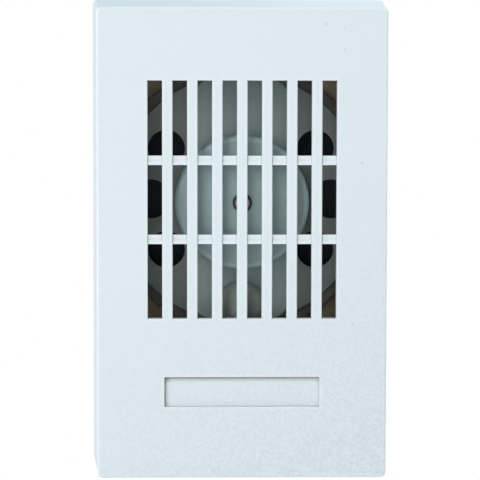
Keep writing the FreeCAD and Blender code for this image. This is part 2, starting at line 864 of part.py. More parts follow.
def make_strap():
    body = new_body("bell_strap")
    place(body, "bell_x", "0", "bell_z")
    outline = wall_sketch(body, "strap_outline", "plate_front")
    draw_rectangle(outline, "0", "0", "strap_width", "strap_length")
    blank = pad(body, outline, "strap_blank", "strap_thick")
    round_edges(body, blank, "strap_corners", edges_where(blank, runs_out), "strap_corner")
    holes = wall_sketch(body, "strap_hole_outlines", "strap_front")
    draw_circle(holes, "0", "0", "screw_radius + screw_fit")
    draw_circle(holes, "0", "rivet_spacing / 2", "rivet_radius")
    draw_circle(holes, "0", "-rivet_spacing / 2", "rivet_radius")
    pocket(body, holes, "strap_holes", "strap_thick")
    piece("bell_strap", body)


def make_strap_rivets():
    rivets = []
    for name, sign in (("upper", "+"), ("lower", "-")):
        z = f"bell_z {sign} rivet_spacing / 2"
        shank = rod_out(f"{name}_rivet_shank", "bell_x", z, "plate_back", "strap_front", "rivet_radius")
        back = "plate_back - rivet_tail"
        tail = rod_out(f"{name}_rivet_tail", "bell_x", z, back, "plate_back", "rivet_tail_radius")
        rivets.append(fuse(f"{name}_rivet", shank, tail))
    piece("strap_rivets", group("rivets", *rivets))


# Post, bell and what holds the bell


def make_post():
    length = "plate_back - cup_seat"
    blank = hexagon("post_blank", "bell_x", "-cup_seat", "bell_z", ALONG_Y, "post_radius", length)
    front = rod_out(
        "post_front_thread", "bell_x", "bell_z", "plate_back - post_thread", "plate_back + past",
        "screw_radius",
    )
    back = rod_out("post_back_thread", "bell_x", "bell_z", "0", "cup_seat + rear_grip", "rear_radius")
    piece("bell_post", cut("post", blank, front, back))


def make_spacer():
    sleeve = rod_out("spacer_blank", "bell_x", "bell_z", "strap_front", "spacer_top", "spacer_radius")
    bore = rod_out("spacer_bore", "bell_x", "bell_z", "0", "inner_front", "screw_radius + screw_fit")
    piece("bell_spacer", cut("spacer", sleeve, bore))


def dome(name, back, shrink, shoulder_round):
    """A shallow dome with a straight skirt, smaller all round by the given amount."""
    crown = DOCUMENT.addObject("Part::Sphere", f"{name}_crown")
    bind(crown, Radius=f"dome_radius - {shrink}")
    place(crown, "bell_x", "-(bell_crown - dome_radius)", "bell_z")
    skirt = rod_out(
        f"{name}_skirt", "bell_x", "bell_z", back, "bell_crown + past", f"bell_radius - {shrink}",
    )
    whole = DOCUMENT.addObject("Part::Common", f"{name}_sharp")
    whole.Base = crown
    whole.Tool = skirt
    DOCUMENT.recompute()
    deepest = whole.Shape.BoundBox.YMax
    edges = enumerate(whole.Shape.Edges, start=1)
    shoulder = [number for number, edge in edges if edge.Closed and edge.BoundBox.YMax < deepest - 1]
    return rounded_rims(f"{name}_rounded", whole, shoulder, shoulder_round)


def rounded_rims(name, base, rims, radius):
    rounded = DOCUMENT.addObject("Part::Fillet", name)
    rounded.Base = base
    rounded.Edges = [(number, radius, radius) for number in rims]
    return rounded


def make_bell():
    outside = dome("bell_outside", "bell_rim", "0", size("bell_round"))
    inside_round = size("bell_round") - size("bell_wall")
    inside = dome("bell_inside", "bell_rim - past", "bell_wall", inside_round)
    hole = rod_out("bell_hole_part", "bell_x", "bell_z", "0", "inner_front", "bell_hole")
    piece("bell_shell", cut("bell", outside, inside, hole))


def make_bell_grommet():
    foot_top = "spacer_top + grommet_flange"
    foot = rod_out("bell_grommet_foot", "bell_x", "bell_z", "spacer_top", foot_top, "grommet_foot")
    neck = rod_out("bell_grommet_neck", "bell_x", "bell_z", "spacer_top", "washer_seat", "bell_hole")
    top = rod_out("bell_grommet_top", "bell_x", "bell_z", "bell_crown", "washer_seat", "grommet_radius")
    bore = rod_out("bell_grommet_bore", "bell_x", "bell_z", "0", "inner_front", "screw_radius + screw_fit")
    piece("bell_grommet", cut("bell_bush", fuse("bell_bush_blank", foot, neck, top), bore))


def make_bell_washer():
    disc = rod_out("washer_blank", "bell_x", "bell_z", "washer_seat", "head_seat", "washer_radius")
    bore = rod_out("washer_bore", "bell_x", "bell_z", "0", "inner_front", "screw_radius + screw_fit")
    piece("bell_washer", cut("washer", disc, bore))


def make_bell_screw():
    head = rod_out("screw_head", "bell_x", "bell_z", "head_seat", "head_top", "head_radius")
    DOCUMENT.recompute()
    top = -head.Shape.BoundBox.YMin
    edges = enumerate(head.Shape.Edges, start=1)
    rim = [number for number, edge in edges if edge.Closed and at_depth(edge, top)]
    soft = rounded_rims("screw_head_round", head, rim, size("head_round"))
    shank = rod_out(
        "screw_shank", "bell_x", "bell_z", "plate_back - post_thread", "head_seat", "screw_radius",
    )
    low, high = "bell_z - head_slot / 2", "bell_z + head_slot / 2"
    left, right = "bell_x - head_radius", "bell_x + head_radius"
    slot = block("screw_slot", left, right, "head_top - head_slot_depth", "head_top + past", low, high)
    piece("bell_screw", cut("screw", fuse("screw_blank", soft, shank), slot))


# Magnet


def make_yoke():
    """An L of iron round the coil, with a foot on the tray and two ears for the hinge pin."""
    foot_low, foot_high = "magnet_z - foot_height / 2", "magnet_z + foot_height / 2"
    parts = [
        block("yoke_leg", "yoke_left", "leg_right", "yoke_back", "yoke_front", "leg_low", "leg_high"),
        block("yoke_head", "ear_root", "leg_right", "ear_back", "ear_front", "leg_low", "leg_high"),
        block(
            "yoke_plate", "yoke_left", "magnet_left", "yoke_back", "yoke_front",
            "magnet_z - flange_radius", "leg_high",
        ),
        block("yoke_stem", "yoke_left", "magnet_left", "tray_floor", "yoke_back", foot_low, foot_high),
        block(
            "yoke_foot", "yoke_left", "magnet_left + foot_length", "tray_floor",
            "tray_floor + yoke_thick", foot_low, foot_high,
        ),
    ]
    low, high = "pivot_z - hub_radius", "pivot_z + hub_radius"
    for name, back, front in (
        ("front_ear", "yoke_front + ear_gap", "ear_front"),
        ("back_ear", "ear_back", "yoke_back - ear_gap"),
    ):
        parts.append(block(name, "ear_root", "pivot_x", back, front, low, high))
        parts.append(rod_out(f"{name}_end", "pivot_x", "pivot_z", back, front, "hub_radius"))
    thread_top = "tray_floor + yoke_thick + past"
    tools = [
        rod_out("yoke_pin_hole", "pivot_x", "pivot_z", "ear_back - past", "ear_front + past", "pin_radius"),
        rod_across(
            "yoke_core_hole", "yoke_left - past", "magnet_left + past", "magnet_out", "magnet_z",
            "core_radius",
        ),
        rod_out(
            "upper_foot_thread", "foot_x", "magnet_z + foot_screws / 2", "0", thread_top,
            "rear_radius",
        ),
        rod_out(
            "lower_foot_thread", "foot_x", "magnet_z - foot_screws / 2", "0", thread_top,
            "rear_radius",
        ),
    ]
    piece("magnet_yoke", cut("yoke", fuse("yoke_blank", *parts), *tools))


def make_rear_screws():
    piece("post_screw", rear_screw("long_screw", "bell_x", "bell_z", "cup_seat + rear_grip"))
    tip = "tray_floor + yoke_thick"
    upper = rear_screw("upper_foot_screw", "foot_x", "magnet_z + foot_screws / 2", tip)
    lower = rear_screw("lower_foot_screw", "foot_x", "magnet_z - foot_screws / 2", tip)
    piece("yoke_screws", group("foot_screws", upper, lower))
    piece("block_screw", rear_screw("middle_screw", "block_x", "block_z", "tray_floor + rear_grip"))


def make_coil():
    def round_bar(name, left, right, radius):
        return rod_across(name, left, right, "magnet_out", "magnet_z", radius)

    tube = round_bar("bobbin_tube", "magnet_left", "bobbin_right", "tube_radius")
    left = round_bar("left_flange", "magnet_left", "magnet_left + flange_thick", "flange_radius")
    right = round_bar("right_flange", "bobbin_right - flange_thick", "bobbin_right", "flange_radius")
    bore = round_bar("bobbin_bore", "magnet_left - past", "bobbin_right + past", "core_radius + core_fit")
    piece("coil_bobbin", cut("bobbin", fuse("bobbin_blank", tube, left, right), bore))
    start, end = "magnet_left + flange_thick", "bobbin_right - flange_thick"
    bundle = round_bar("winding_outside", start, end, "coil_radius")
    inside = round_bar("winding_inside", "magnet_left", "bobbin_right", "tube_radius")
    piece("coil_winding", cut("winding", bundle, inside))
    piece("coil_core", round_bar("core", "yoke_left", "pole_face", "core_radius"))


# Hinge, armature and hammer


def make_hinge_pin():
    back, front = "ear_back - pin_end", "ear_front + pin_end"
    piece("pivot_pin", rod_out("pin", "pivot_x", "pivot_z", back, front, "pin_radius"))
    clips = []
    for name, start in (("front_pin_clip", "ear_front"), ("back_pin_clip", "ear_back - pin_clip_thick")):
        end = f"({start}) + pin_clip_thick"
        disc = rod_out(f"{name}_disc", "pivot_x", "pivot_z", start, end, "clip_radius")
        hole = rod_out(f"{name}_hole", "pivot_x", "pivot_z", "0", "inner_front", "pin_radius")
        clips.append(cut(name, disc, hole))
    piece("pin_clips", group("two_pin_clips", *clips))


def leaf_rivet_levels():
    """The two places along the depth where the contact spring is riveted."""
    return ("magnet_out - leaf_rivet_spacing / 2", "magnet_out + leaf_rivet_spacing / 2")


def make_armature():
    socket_left, socket_right = "pivot_x + armature_thick / 2 - socket_length", "armature_back"
    socket_low, socket_high = "pivot_z", "arm_z + arm_radius + socket_wall"
    lug_back = "spring_out - lug_thick - spring_wire - ear_gap"
    lug_front = "spring_out - spring_wire - ear_gap"
    lug_low, lug_high = "spring_z - lug_half", "spring_z + lug_half"
    lug_right = "lug_x + lug_pin"
    parts = [
        block(
            "armature_plate", "armature_face", "armature_back", "yoke_back", "yoke_front",
            "armature_low", "pivot_z",
        ),
        rod_out("armature_hub", "pivot_x", "pivot_z", "yoke_back", "yoke_front", "hub_radius"),
        block(
            "arm_socket", socket_left, socket_right, "ball_out - arm_radius - socket_wall",
            "yoke_front", socket_low, socket_high,
        ),
        block("spring_lug", "armature_face", lug_right, lug_back, lug_front, lug_low, lug_high),
        rod_out("spring_lug_pin", "lug_x", "spring_z", lug_back, "spring_out + 2 * spring_wire", "lug_pin"),
    ]
    tools = [
        rod_out("hub_bore", "pivot_x", "pivot_z", "0", "inner_front", "pin_radius + pin_fit"),
        rod_across(
            "arm_hole", f"{socket_left} - past", f"{socket_right} - arm_stop", "ball_out", "arm_z",
            "arm_radius",
        ),
    ]
    for number, out in enumerate(leaf_rivet_levels(), start=1):
        z = "leaf_z + leaf_flat / 2"
        hole = rod_across(
            f"armature_rivet_hole_{number}", "armature_face + rivet_floor", "armature_back + past",
            out, z, "leaf_rivet",
        )
        tools.append(hole)
    piece("armature", cut("armature_solid", fuse("armature_blank", *parts), *tools))
    left = "armature_face - shim_thick"
    piece("pole_shim", rod_across("shim", left, "armature_face", "magnet_out", "magnet_z", "shim_radius"))


def make_arm_and_ball():
    corner_x, corner_z = "ball_x + arm_bend", "arm_z + arm_bend"
    end = "armature_back - arm_stop"
    parts = [
        rod_across("arm_run", corner_x, end, "ball_out", "arm_z", "arm_radius"),
        bend("arm_corner", corner_x, corner_z, "ball_out", "arm_bend", "arm_radius", 180),
        rod_up(
            "arm_rise_part", "ball_x", "ball_out", corner_z, "ball_z - ball_radius + arm_seat",
            "arm_radius",
        ),
    ]
    piece("hammer_arm", fuse("arm", *parts))
    sphere = DOCUMENT.addObject("Part::Sphere", "ball_blank")
    bind(sphere, Radius="ball_radius")
    place(sphere, "ball_x", "-ball_out", "ball_z")
    hole = rod_up(
        "ball_hole", "ball_x", "ball_out", "arm_z", "ball_z - ball_radius + arm_seat", "arm_radius",
    )
    piece("hammer_ball", cut("ball", sphere, hole))


# Contact spring, bracket and set screw


def make_contact_spring():
    body = new_body("contact_leaf")
    outline = wall_sketch(body, "leaf_outline", "magnet_out - leaf_width / 2")
    bottom, fold = "leaf_z", "leaf_z + leaf_flat"
    top = "contact_z + leaf_low"
    inner, outer = "armature_back", "armature_back + leaf_thick"
    corners = [
        (inner, bottom),
        (outer, bottom),
        (outer, fold),
        (f"{outer} + leaf_lean", "contact_z - stud_radius"),
        (f"{outer} + leaf_lean", top),
        (f"{inner} + leaf_lean", top),
        (f"{inner} + leaf_lean", "contact_z - stud_radius"),
        (inner, fold),
    ]
    draw_polygon(outline, corners)
    pad(body, outline, "leaf_blank", "leaf_width")
    stud = rod_across(
        "contact_stud", f"{outer} + leaf_lean", "stud_face", "magnet_out", "contact_z",
        "stud_radius",
    )
    holes = []
    for number, out in enumerate(leaf_rivet_levels(), start=1):
        z = "leaf_z + leaf_flat / 2"
        hole = rod_across(
            f"leaf_hole_{number}", "armature_face", f"{outer} + past", out, z, "leaf_rivet",
        )
        holes.append(hole)
    piece("contact_spring", cut("leaf", fuse("leaf_with_stud", body, stud), *holes))


def make_contact_rivets():
    rivets = []
    for number, out in enumerate(leaf_rivet_levels(), start=1):
        z = "leaf_z + leaf_flat / 2"
        seat = "armature_back + leaf_thick"
        shank = rod_across(
            f"leaf_rivet_shank_{number}", "armature_face + rivet_floor", seat, out, z, "leaf_rivet",
        )
        head = rod_across(
            f"leaf_rivet_head_{number}", seat, f"{seat} + leaf_thick", out, z, "leaf_rivet_head",
        )
        rivets.append(fuse(f"leaf_rivet_{number}", shank, head))
    piece("contact_rivets", group("leaf_rivets", *rivets))


def bracket_screw_bore(name):
    """The straight bore for the screw that holds the contact bracket to the tray."""
    x = "bracket_x + bracket_screw_set"
    front = "bracket_seat + bracket_thick + past"
    return rod_out(name, x, "contact_z", "blind_floor", front, "screw_radius")


def make_contact_bracket():
    low, high = "contact_z - bracket_half", "contact_z + bracket_half"
    sides = ("bracket_x - insulator_edge", "bracket_right + insulator_edge")
    ends = (f"{low} - insulator_edge", f"{high} + insulator_edge")
    sheet = block("insulator_blank", *sides, "tray_floor", "bracket_seat", *ends)
    piece("contact_insulator", cut("insulator", sheet, bracket_screw_bore("insulator_hole")))
    foot_top = "bracket_seat + bracket_thick"
    foot = block("bracket_foot_part", "bracket_x", "bracket_right", "bracket_seat", foot_top, low, high)
    upright_right = "bracket_x + bracket_thick"
    upright = block(
        "bracket_upright", "bracket_x", upright_right, "bracket_seat", "magnet_out + bracket_top",
        low, high,
    )
    thread = rod_across(
        "bracket_thread", "bracket_x - past", f"{upright_right} + past", "magnet_out", "contact_z",
        "contact_screw_radius",
    )
    blank = fuse("bracket_blank", foot, upright)
    piece("contact_bracket", cut("bracket", blank, thread, bracket_screw_bore("bracket_hole")))
    x = "bracket_x + bracket_screw_set"
    shank = rod_out("bracket_screw_shank", x, "contact_z", "blind_floor", foot_top, "screw_radius")
    head = rod_out(
        "bracket_screw_head", x, "contact_z", foot_top, f"{foot_top} + head_height", "head_radius",
    )
    slot_low, slot_high = "contact_z - head_slot / 2", "contact_z + head_slot / 2"
    slot_back = f"{foot_top} + head_height - head_slot_depth"
    slot = block(
        "bracket_screw_slot", f"{x} - head_radius", f"{x} + head_radius", slot_back, "yoke_back",
        slot_low, slot_high,
    )
    piece("bracket_screw", cut("short_screw", fuse("short_screw_blank", shank, head), slot))


def make_contact_screw():
    tip = "stud_face + contact_gap"
    nut_seat = "bracket_x + bracket_thick"
    head_seat = f"{nut_seat} + nut_thick + contact_screw_out"
    head_end = f"{head_seat} + contact_head_thick"
    shank = rod_across("set_screw_shank", tip, head_seat, "magnet_out", "contact_z", "contact_screw_radius")
    head = rod_across(
        "set_screw_head", head_seat, head_end, "magnet_out", "contact_z", "contact_head_radius",
    )
    back, front = "magnet_out - contact_head_radius", "magnet_out + contact_head_radius"
    low, high = "contact_z - head_slot / 2", "contact_z + head_slot / 2"
    slot = block(
        "set_screw_slot", f"{head_end} - head_slot_depth", f"{head_end} + past", back, front, low,
        high,
    )
    piece("contact_screw", cut("set_screw", fuse("set_screw_blank", shank, head), slot))
    nut = hexagon("nut_blank", nut_seat, "-magnet_out", "contact_z", ALONG_X, "nut_radius", "nut_thick")
    bore = rod_across(
        "nut_bore", "bracket_x", f"{nut_seat} + 2 * nut_thick", "magnet_out", "contact_z",
        "contact_screw_radius",
    )
    piece("contact_lock_nut", cut("lock_nut", nut, bore))


# Return spring and its post


def make_return_spring():
    """A close coil with an eye at each end, one over the armature's lug and one over the post."""
    helix = DOCUMENT.addObject("Part::Helix", "spring_line")
    bind(
        helix, Radius="spring_radius", Height="coil_end - coil_start",
        Pitch="(coil_end - coil_start) / spring_turns",
    )
    place(helix, "coil_start", "-spring_out", "spring_z", ALONG_X)
    section = DOCUMENT.addObject("Part::Circle", "spring_section")
    bind(section, Radius="spring_wire")
    place(section, "coil_start", "-spring_out", "spring_z - spring_radius", ALONG_Y)
    coil = DOCUMENT.addObject("Part::Sweep", "spring_coil")
    coil.Sections = [section]
    coil.Spine = (helix, ["Edge1"])
    coil.Solid = True
    coil.Frenet = True
    eyes = []
    for name, x in (("left_eye", "left_eye_x"), ("right_eye", "right_eye_x")):
        ring = DOCUMENT.addObject("Part::Torus", name)
        bind(ring, Radius1="spring_radius", Radius2="spring_wire")
        place(ring, x, "-spring_out", "spring_z", ALONG_Y)
        eyes.append(ring)
    piece("return_spring", fuse("spring", coil, *eyes))
    top = "spring_out + 2 * spring_wire"
    post = rod_out(
        "spring_post_part", "spring_post_x", "spring_z", "blind_floor", top, "spring_post_radius",
    )
    piece("spring_post", post)


# Terminal block and coil leads


def terminal_places():
    return ("block_x - terminal_spacing / 2", "block_x + terminal_spacing / 2")


def make_terminals():
    body = block(
        "block_body", "block_left", "block_right", "tray_floor", "block_front", "block_low",
        "block_high",
    )
    thread = rod_out("block_thread", "block_x", "block_z", "0", "tray_floor + rear_grip", "rear_radius")
    tools, clamps, screws = [thread], [], []
    half_tall = "pocket_height / 2"
    for number, x in enumerate(terminal_places(), start=1):
        low, high = f"block_z - {half_tall}", f"block_z + {half_tall}"
        left, right = f"({x}) - pocket_width / 2", f"({x}) + pocket_width / 2"
        hole = block(
            f"pocket_{number}", left, right, "pocket_floor", "block_front + past", low, high,
        )
        tools.append(hole)
        hole = rod_up(
            f"wire_way_{number}", x, "lead_out", "block_low - past", "block_high + past",
            "wire_hole",
        )
        tools.append(hole)
        sides = [f"{left} + clamp_gap", f"{right} - clamp_gap"]
        ends = [f"{low} + clamp_gap", f"{high} - clamp_gap"]
        cage = block(f"cage_{number}", *sides, "pocket_floor", "clamp_front", *ends)
        bore = rod_up(f"cage_bore_{number}", x, "lead_out", "block_low", "block_high", "wire_hole")
        thread = rod_out(
            f"cage_thread_{number}", x, "block_z", "lead_out", "clamp_front + past", "screw_radius",
        )
        clamps.append(cut(f"clamp_{number}", cage, bore, thread))
        screws.append(terminal_screw(f"terminal_screw_{number}", x))
    piece("terminal_block", cut("block", body, *tools))
    piece("terminal_clamps", group("clamps", *clamps))
    piece("terminal_screws", group("block_screws", *screws))


def terminal_screw(name, x):
    top = "clamp_front + terminal_head_high"
    shank = rod_out(f"{name}_shank", x, "block_z", "lead_out + wire_hole", "clamp_front", "screw_radius")
    head = rod_out(f"{name}_head", x, "block_z", "clamp_front", top, "terminal_head")
    low, high = "block_z - head_slot / 2", "block_z + head_slot / 2"
    left, right = f"({x}) - terminal_head", f"({x}) + terminal_head"
    slot = block(f"{name}_slot", left, right, f"{top} - head_slot_depth", f"{top} + past", low, high)
    return cut(name, fuse(f"{name}_blank", shank, head), slot)


def make_leads():
    """Two stiff leads that run down from the terminals, under the magnet and up to the winding."""
    leads = []
    left_end = "magnet_left + flange_thick + lead_reach"
    routes = [
        (terminal_places()[0], "lead_step", f"{left_end} + lead_step"),
        (terminal_places()[1], "0", left_end),
    ]
    for number, (x, lower, end_x) in enumerate(routes, start=1):
        run_z = f"lead_end - lead_climb - lead_bend - {lower}"
        corner_z = f"{run_z} + lead_bend"
        first_x, last_x = f"({x}) + lead_bend", f"({end_x}) - lead_bend"
        name = f"lead_{number}"
        parts = [
            rod_up(f"{name}_fall", x, "lead_out", corner_z, "block_low + lead_reach", "lead_radius"),
            bend(f"{name}_first_bend", first_x, corner_z, "lead_out", "lead_bend", "lead_radius", 180),
            rod_across(f"{name}_run", first_x, last_x, "lead_out", run_z, "lead_radius"),
            bend(f"{name}_last_bend", last_x, corner_z, "lead_out", "lead_bend", "lead_radius", 270),
            rod_up(f"{name}_climb", end_x, "lead_out", corner_z, "lead_end", "lead_radius"),
        ]
        leads.append(fuse(name, *parts))
    piece("coil_lead_wires", group("leads", *leads))


def make_all():
    make_cover()
    make_tray()
    make_cable_grommet()
    make_cover_clips()
    make_sound_cup()
    make_boards()
    make_board_pillars()
    make_cup_plate()
    make_strap()
    make_strap_rivets()
    make_post()
    make_spacer()
    make_bell()
    make_bell_grommet()
    make_bell_washer()
    make_bell_screw()
    make_yoke()
    make_rear_screws()
    make_coil()
    make_hinge_pin()
    make_armature()
    make_arm_and_ball()
    make_contact_spring()
    make_contact_rivets()
    make_contact_bracket()
    make_contact_screw()
    make_return_spring()
    make_terminals()
    make_leads()
    DOCUMENT.recompute()


def write_pieces():
    for item in DOCUMENT.Objects:
        if "Invalid" in item.State or "Error" in item.State:
            raise ValueError(f"{item.Name} failed: {item.State}")
    for label, item in PIECES.items():
        if item.Shape.isNull() or not item.Shape.isValid():
            raise ValueError(f"{label} has no valid shape")
    os.makedirs("parts", exist_ok=True)
    for label, item in PIECES.items():
        item.Shape.exportStep(os.path.join("parts", f"{label}.step"))
        box = item.Shape.BoundBox
        solids = len(item.Shape.Solids)
        extent = f"{box.XLength:.1f} x {box.YLength:.1f} x {box.ZLength:.1f} mm"
        print(f"{label}: {solids} solid, {item.Shape.Volume:.1f} mm3, {extent}")


make_all()
write_pieces()
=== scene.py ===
"""Looks of a wall doorbell: finishes, turned, wound and threaded pieces, and a small studio."""

import math

import bmesh
import bpy
from mathutils import Matrix, Vector


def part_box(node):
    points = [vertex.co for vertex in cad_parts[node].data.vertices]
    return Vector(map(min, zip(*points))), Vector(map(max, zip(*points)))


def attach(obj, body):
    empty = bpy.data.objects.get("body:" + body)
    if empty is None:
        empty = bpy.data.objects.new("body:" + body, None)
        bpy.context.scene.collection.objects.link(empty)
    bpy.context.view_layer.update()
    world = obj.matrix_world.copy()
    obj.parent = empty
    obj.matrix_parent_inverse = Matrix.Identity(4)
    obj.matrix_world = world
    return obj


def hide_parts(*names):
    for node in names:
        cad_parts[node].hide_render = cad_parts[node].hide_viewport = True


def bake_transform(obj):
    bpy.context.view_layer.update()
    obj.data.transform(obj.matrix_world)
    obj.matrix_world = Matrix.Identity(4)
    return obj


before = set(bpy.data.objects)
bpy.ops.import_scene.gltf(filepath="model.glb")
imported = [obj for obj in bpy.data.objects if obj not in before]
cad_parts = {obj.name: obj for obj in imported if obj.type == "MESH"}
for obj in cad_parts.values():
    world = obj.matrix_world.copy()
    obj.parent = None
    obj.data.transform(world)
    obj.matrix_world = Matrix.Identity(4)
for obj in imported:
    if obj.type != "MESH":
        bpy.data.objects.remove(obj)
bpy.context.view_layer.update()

bl_info = {
    "name": "Wall Doorbell",
    "version": (1, 0, 0),
    "blender": (4, 5, 0),
    "location": "3D View > Sidebar > Doorbell",
    "description": "Finishes a wall doorbell and builds its turned, wound and threaded pieces",
    "category": "Object",
}

MM = 0.001

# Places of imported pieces, in metres

BELL_LOW, BELL_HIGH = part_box("bell_shell")
BALL_LOW, BALL_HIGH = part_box("hammer_ball")
COIL_LOW, COIL_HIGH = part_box("coil_winding")
SET_LOW, SET_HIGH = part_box("contact_screw")


def middle(name):
    """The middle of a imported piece."""
    low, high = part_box(name)
    return (low + high) / 2


# Values that a user can change


def length(name, description, millimetres):
    return bpy.props.FloatProperty(
        name=name, description=description, default=millimetres * MM, unit="LENGTH", precision=5,
    )


def angle(name, description, degrees):
    return bpy.props.FloatProperty(
        name=name, description=description, default=math.radians(degrees), subtype="ANGLE",
    )


def amount(name, description, value):
    return bpy.props.FloatProperty(name=name, description=description, default=value, min=0.0)


def count(name, description, value):
    return bpy.props.IntProperty(name=name, description=description, default=value, min=1)


def colour(name, description, red, green, blue):
    return bpy.props.FloatVectorProperty(
        name=name, description=description, default=(red, green, blue), size=3, min=0.0, max=1.0,
        subtype="COLOR",
    )


class DoorbellSizes(bpy.types.PropertyGroup):
    """Sizes of the pieces that are built here."""

    bell_wall: length("Bell Wall", "Thickness of the bell's metal", 1.2)
    bell_hole: length("Bell Hole", "Radius of the hole in the bell's crown", 2.0)
    bell_dome: length("Bell Dome", "Radius of the bell's shallow dome", 120.0)
    bell_shoulder: length("Bell Shoulder", "Radius of the bend between the dome and the side", 1.25)
    bell_lip: length("Bell Lip", "Rounding of the bell's rim", 0.3)
    ball_collar: length("Ball Collar", "Radius of the crimped collar under the hammer ball", 1.5)
    wire: length("Winding Wire", "Diameter of the enamelled wire", 0.42)
    tape_width: length("Tape Width", "Width of the tape round the winding", 9.0)
    lead: length("Lead", "Radius of a sleeved lead", 0.45)
    lead_core: length("Lead Core", "Radius of the bare wire in a lead", 0.22)
    spring_wire: length("Spring Wire", "Radius of the return spring's wire", 0.25)
    spring_radius: length("Spring Radius", "Radius of the return spring's turns", 2.0)
    spring_turns: count("Spring Turns", "Turns of the return spring", 9)
    thread_pitch: length("Thread Pitch", "Pitch of the set screw's thread", 0.45)
    knurls: count("Knurls", "Ridges round the set screw's head", 28)


class DoorbellColours(bpy.types.PropertyGroup):
    """Colours of the finishes."""

    cover_plastic: colour("Cover", "Cool white moulded cover", 0.704, 0.796, 0.829)
    # The cover's lighter edges are partly scuffs and partly painted highlight.
    cover_edge: colour("Cover Edge", "Whiter edges of the cover: scuffs and painted highlight", 0.9, 0.92, 0.955)
    # The colour of the painted shade in the cover's corners and recesses.
    cover_dust: colour("Cover Shade", "Warm grey painted shade under the cover's edges", 0.14, 0.13, 0.12)
    tray_plastic: colour("Tray", "Brown moulded base", 0.15, 0.115, 0.08)
    board_brown: colour("Board", "Brown laminated board", 0.59, 0.47, 0.31)
    cup_plastic: colour("Cup", "Black moulded cup", 0.036, 0.05, 0.068)
    cup_film: colour("Cup Film", "Grey film on the cup's rim", 0.19, 0.172, 0.15)
    block_plastic: colour("Terminal Block", "Dark phenolic block", 0.045, 0.03, 0.022)
    bobbin_plastic: colour("Bobbin", "Ivory bobbin", 0.55, 0.5, 0.38)
    lead_sleeve: colour("Lead Sleeve", "Woven sleeve on the leads", 0.5, 0.33, 0.12)
    rubber: colour("Rubber", "Black rubber", 0.018, 0.018, 0.018)
    plated_steel: colour("Plated Steel", "Dull zinc plating", 0.235, 0.27, 0.25)
    strap_steel: colour("Strap Steel", "Lighter plating of the strap", 0.398, 0.51, 0.505)
    rivet_steel: colour("Rivet Steel", "Bare drawn steel", 0.5, 0.5, 0.48)
    screw_steel: colour("Screw Steel", "Plated screws, slightly warm", 0.34, 0.33, 0.3)
    dark_steel: colour("Dark Steel", "Blackened washer", 0.035, 0.032, 0.03)
    spring_steel: colour("Spring Steel", "Hard drawn spring wire", 0.42, 0.43, 0.44)
    hammer_metal: colour("Hammer Metal", "Dull plated ball", 0.238, 0.268, 0.25)
    bell_metal: colour("Bell Metal", "Plated bell", 0.286, 0.38, 0.392)
    magnet_iron: colour("Magnet Iron", "Plated soft iron", 0.45, 0.45, 0.43)
    brass: colour("Brass", "Turned brass", 0.72, 0.5, 0.22)
    contact_bronze: colour("Contact Bronze", "Rolled bronze", 0.62, 0.36, 0.19)
    contact_silver: colour("Contact Silver", "Silver alloy", 0.82, 0.8, 0.76)
    copper_wire: colour("Copper Wire", "Enamelled copper", 0.55, 0.17, 0.06)
    insulator_board: colour("Insulator Board", "Brown fibre board", 0.28, 0.13, 0.05)
    tape: colour("Tape", "Amber winding tape", 0.5, 0.3, 0.07)
    floor: colour("Floor", "Plain pale floor", 0.88, 0.88, 0.88)


class DoorbellStudio(bpy.types.PropertyGroup):
    """Camera, lights and floor."""

    camera_x: length("Camera X", "Camera place to the side", -17.6)
    camera_y: length("Camera Y", "Camera place in front of the wall", -692.9)
    camera_z: length("Camera Z", "Camera height", 57.4)
    azimuth: angle("Azimuth", "Turn of the camera round the object", -1.5)
    elevation: angle("Elevation", "Height of the camera above the horizon", 4.94)
    roll: angle("Roll", "Turn of the picture", 0.10)
    lens: amount("Lens", "Focal length on a 36 mm sensor", 189.7)
    floor_drop: length("Floor Drop", "Distance from the object's middle to the floor", 260.0)
    floor_half: length("Floor Half Width", "Half the floor's side", 850.0)
    ambient: amount("Ambient", "Strength of the white room's light", 0.228)
    backdrop: amount("Backdrop", "Strength of the white that the camera sees", 1.0)
    key: amount("Key Light", "Power of the light high on the left in watts", 4.22)
    front: amount("Front Light", "Power of the light near the camera in watts", 3.45)
    fill: amount("Fill Light", "Power of the fill light in watts", 0.8)
    top: amount("Top Light", "Power of the light above in watts", 4.8)
    side: amount("Side Light", "Power of the light to the left in watts", 6.0)
    right: amount("Right Light", "Power of the light to the right in watts", 3.2)
    rear: amount("Rear Light", "Power of the light behind the object in watts", 3.0)


# Node helpers


def feed(tree, node, inputs):
    """Joins or fills a node's inputs."""
    for name, value in inputs.items():
        if isinstance(value, bpy.types.NodeSocket):
            tree.links.new(value, node.inputs[name])
        else:
            node.inputs[name].default_value = value


def put(tree, kind, inputs=None, **settings):
    """Adds a node, sets it up, and joins or fills its inputs."""
    node = tree.nodes.new(kind)
    for name, value in settings.items():
        setattr(node, name, value)
    feed(tree, node, inputs or {})
    return node


def calc(tree, operation, *values, clamp=False):
    """A Math node's result."""
    inputs = dict(enumerate(values))
    return put(tree, "ShaderNodeMath", inputs, operation=operation, use_clamp=clamp).outputs[0]


def vector_calc(tree, operation, *values):
    """A Vector Math node's results, named Vector and Value."""
    return put(tree, "ShaderNodeVectorMath", dict(enumerate(values)), operation=operation).outputs


def stretch(tree, value, low, high, new_low=0.0, new_high=1.0):
    """Moves a range of values to a new range."""
    inputs = {"Value": value, "From Min": low, "From Max": high, "To Min": new_low, "To Max": new_high}
    return put(tree, "ShaderNodeMapRange", inputs).outputs[0]


def noise(tree, point, scale, detail=2.0, roughness=0.5):
    """Soft patches between 0 and 1."""
    inputs = {"Vector": point, "Scale": scale, "Detail": detail, "Roughness": roughness}
    return put(tree, "ShaderNodeTexNoise", inputs).outputs["Fac"]


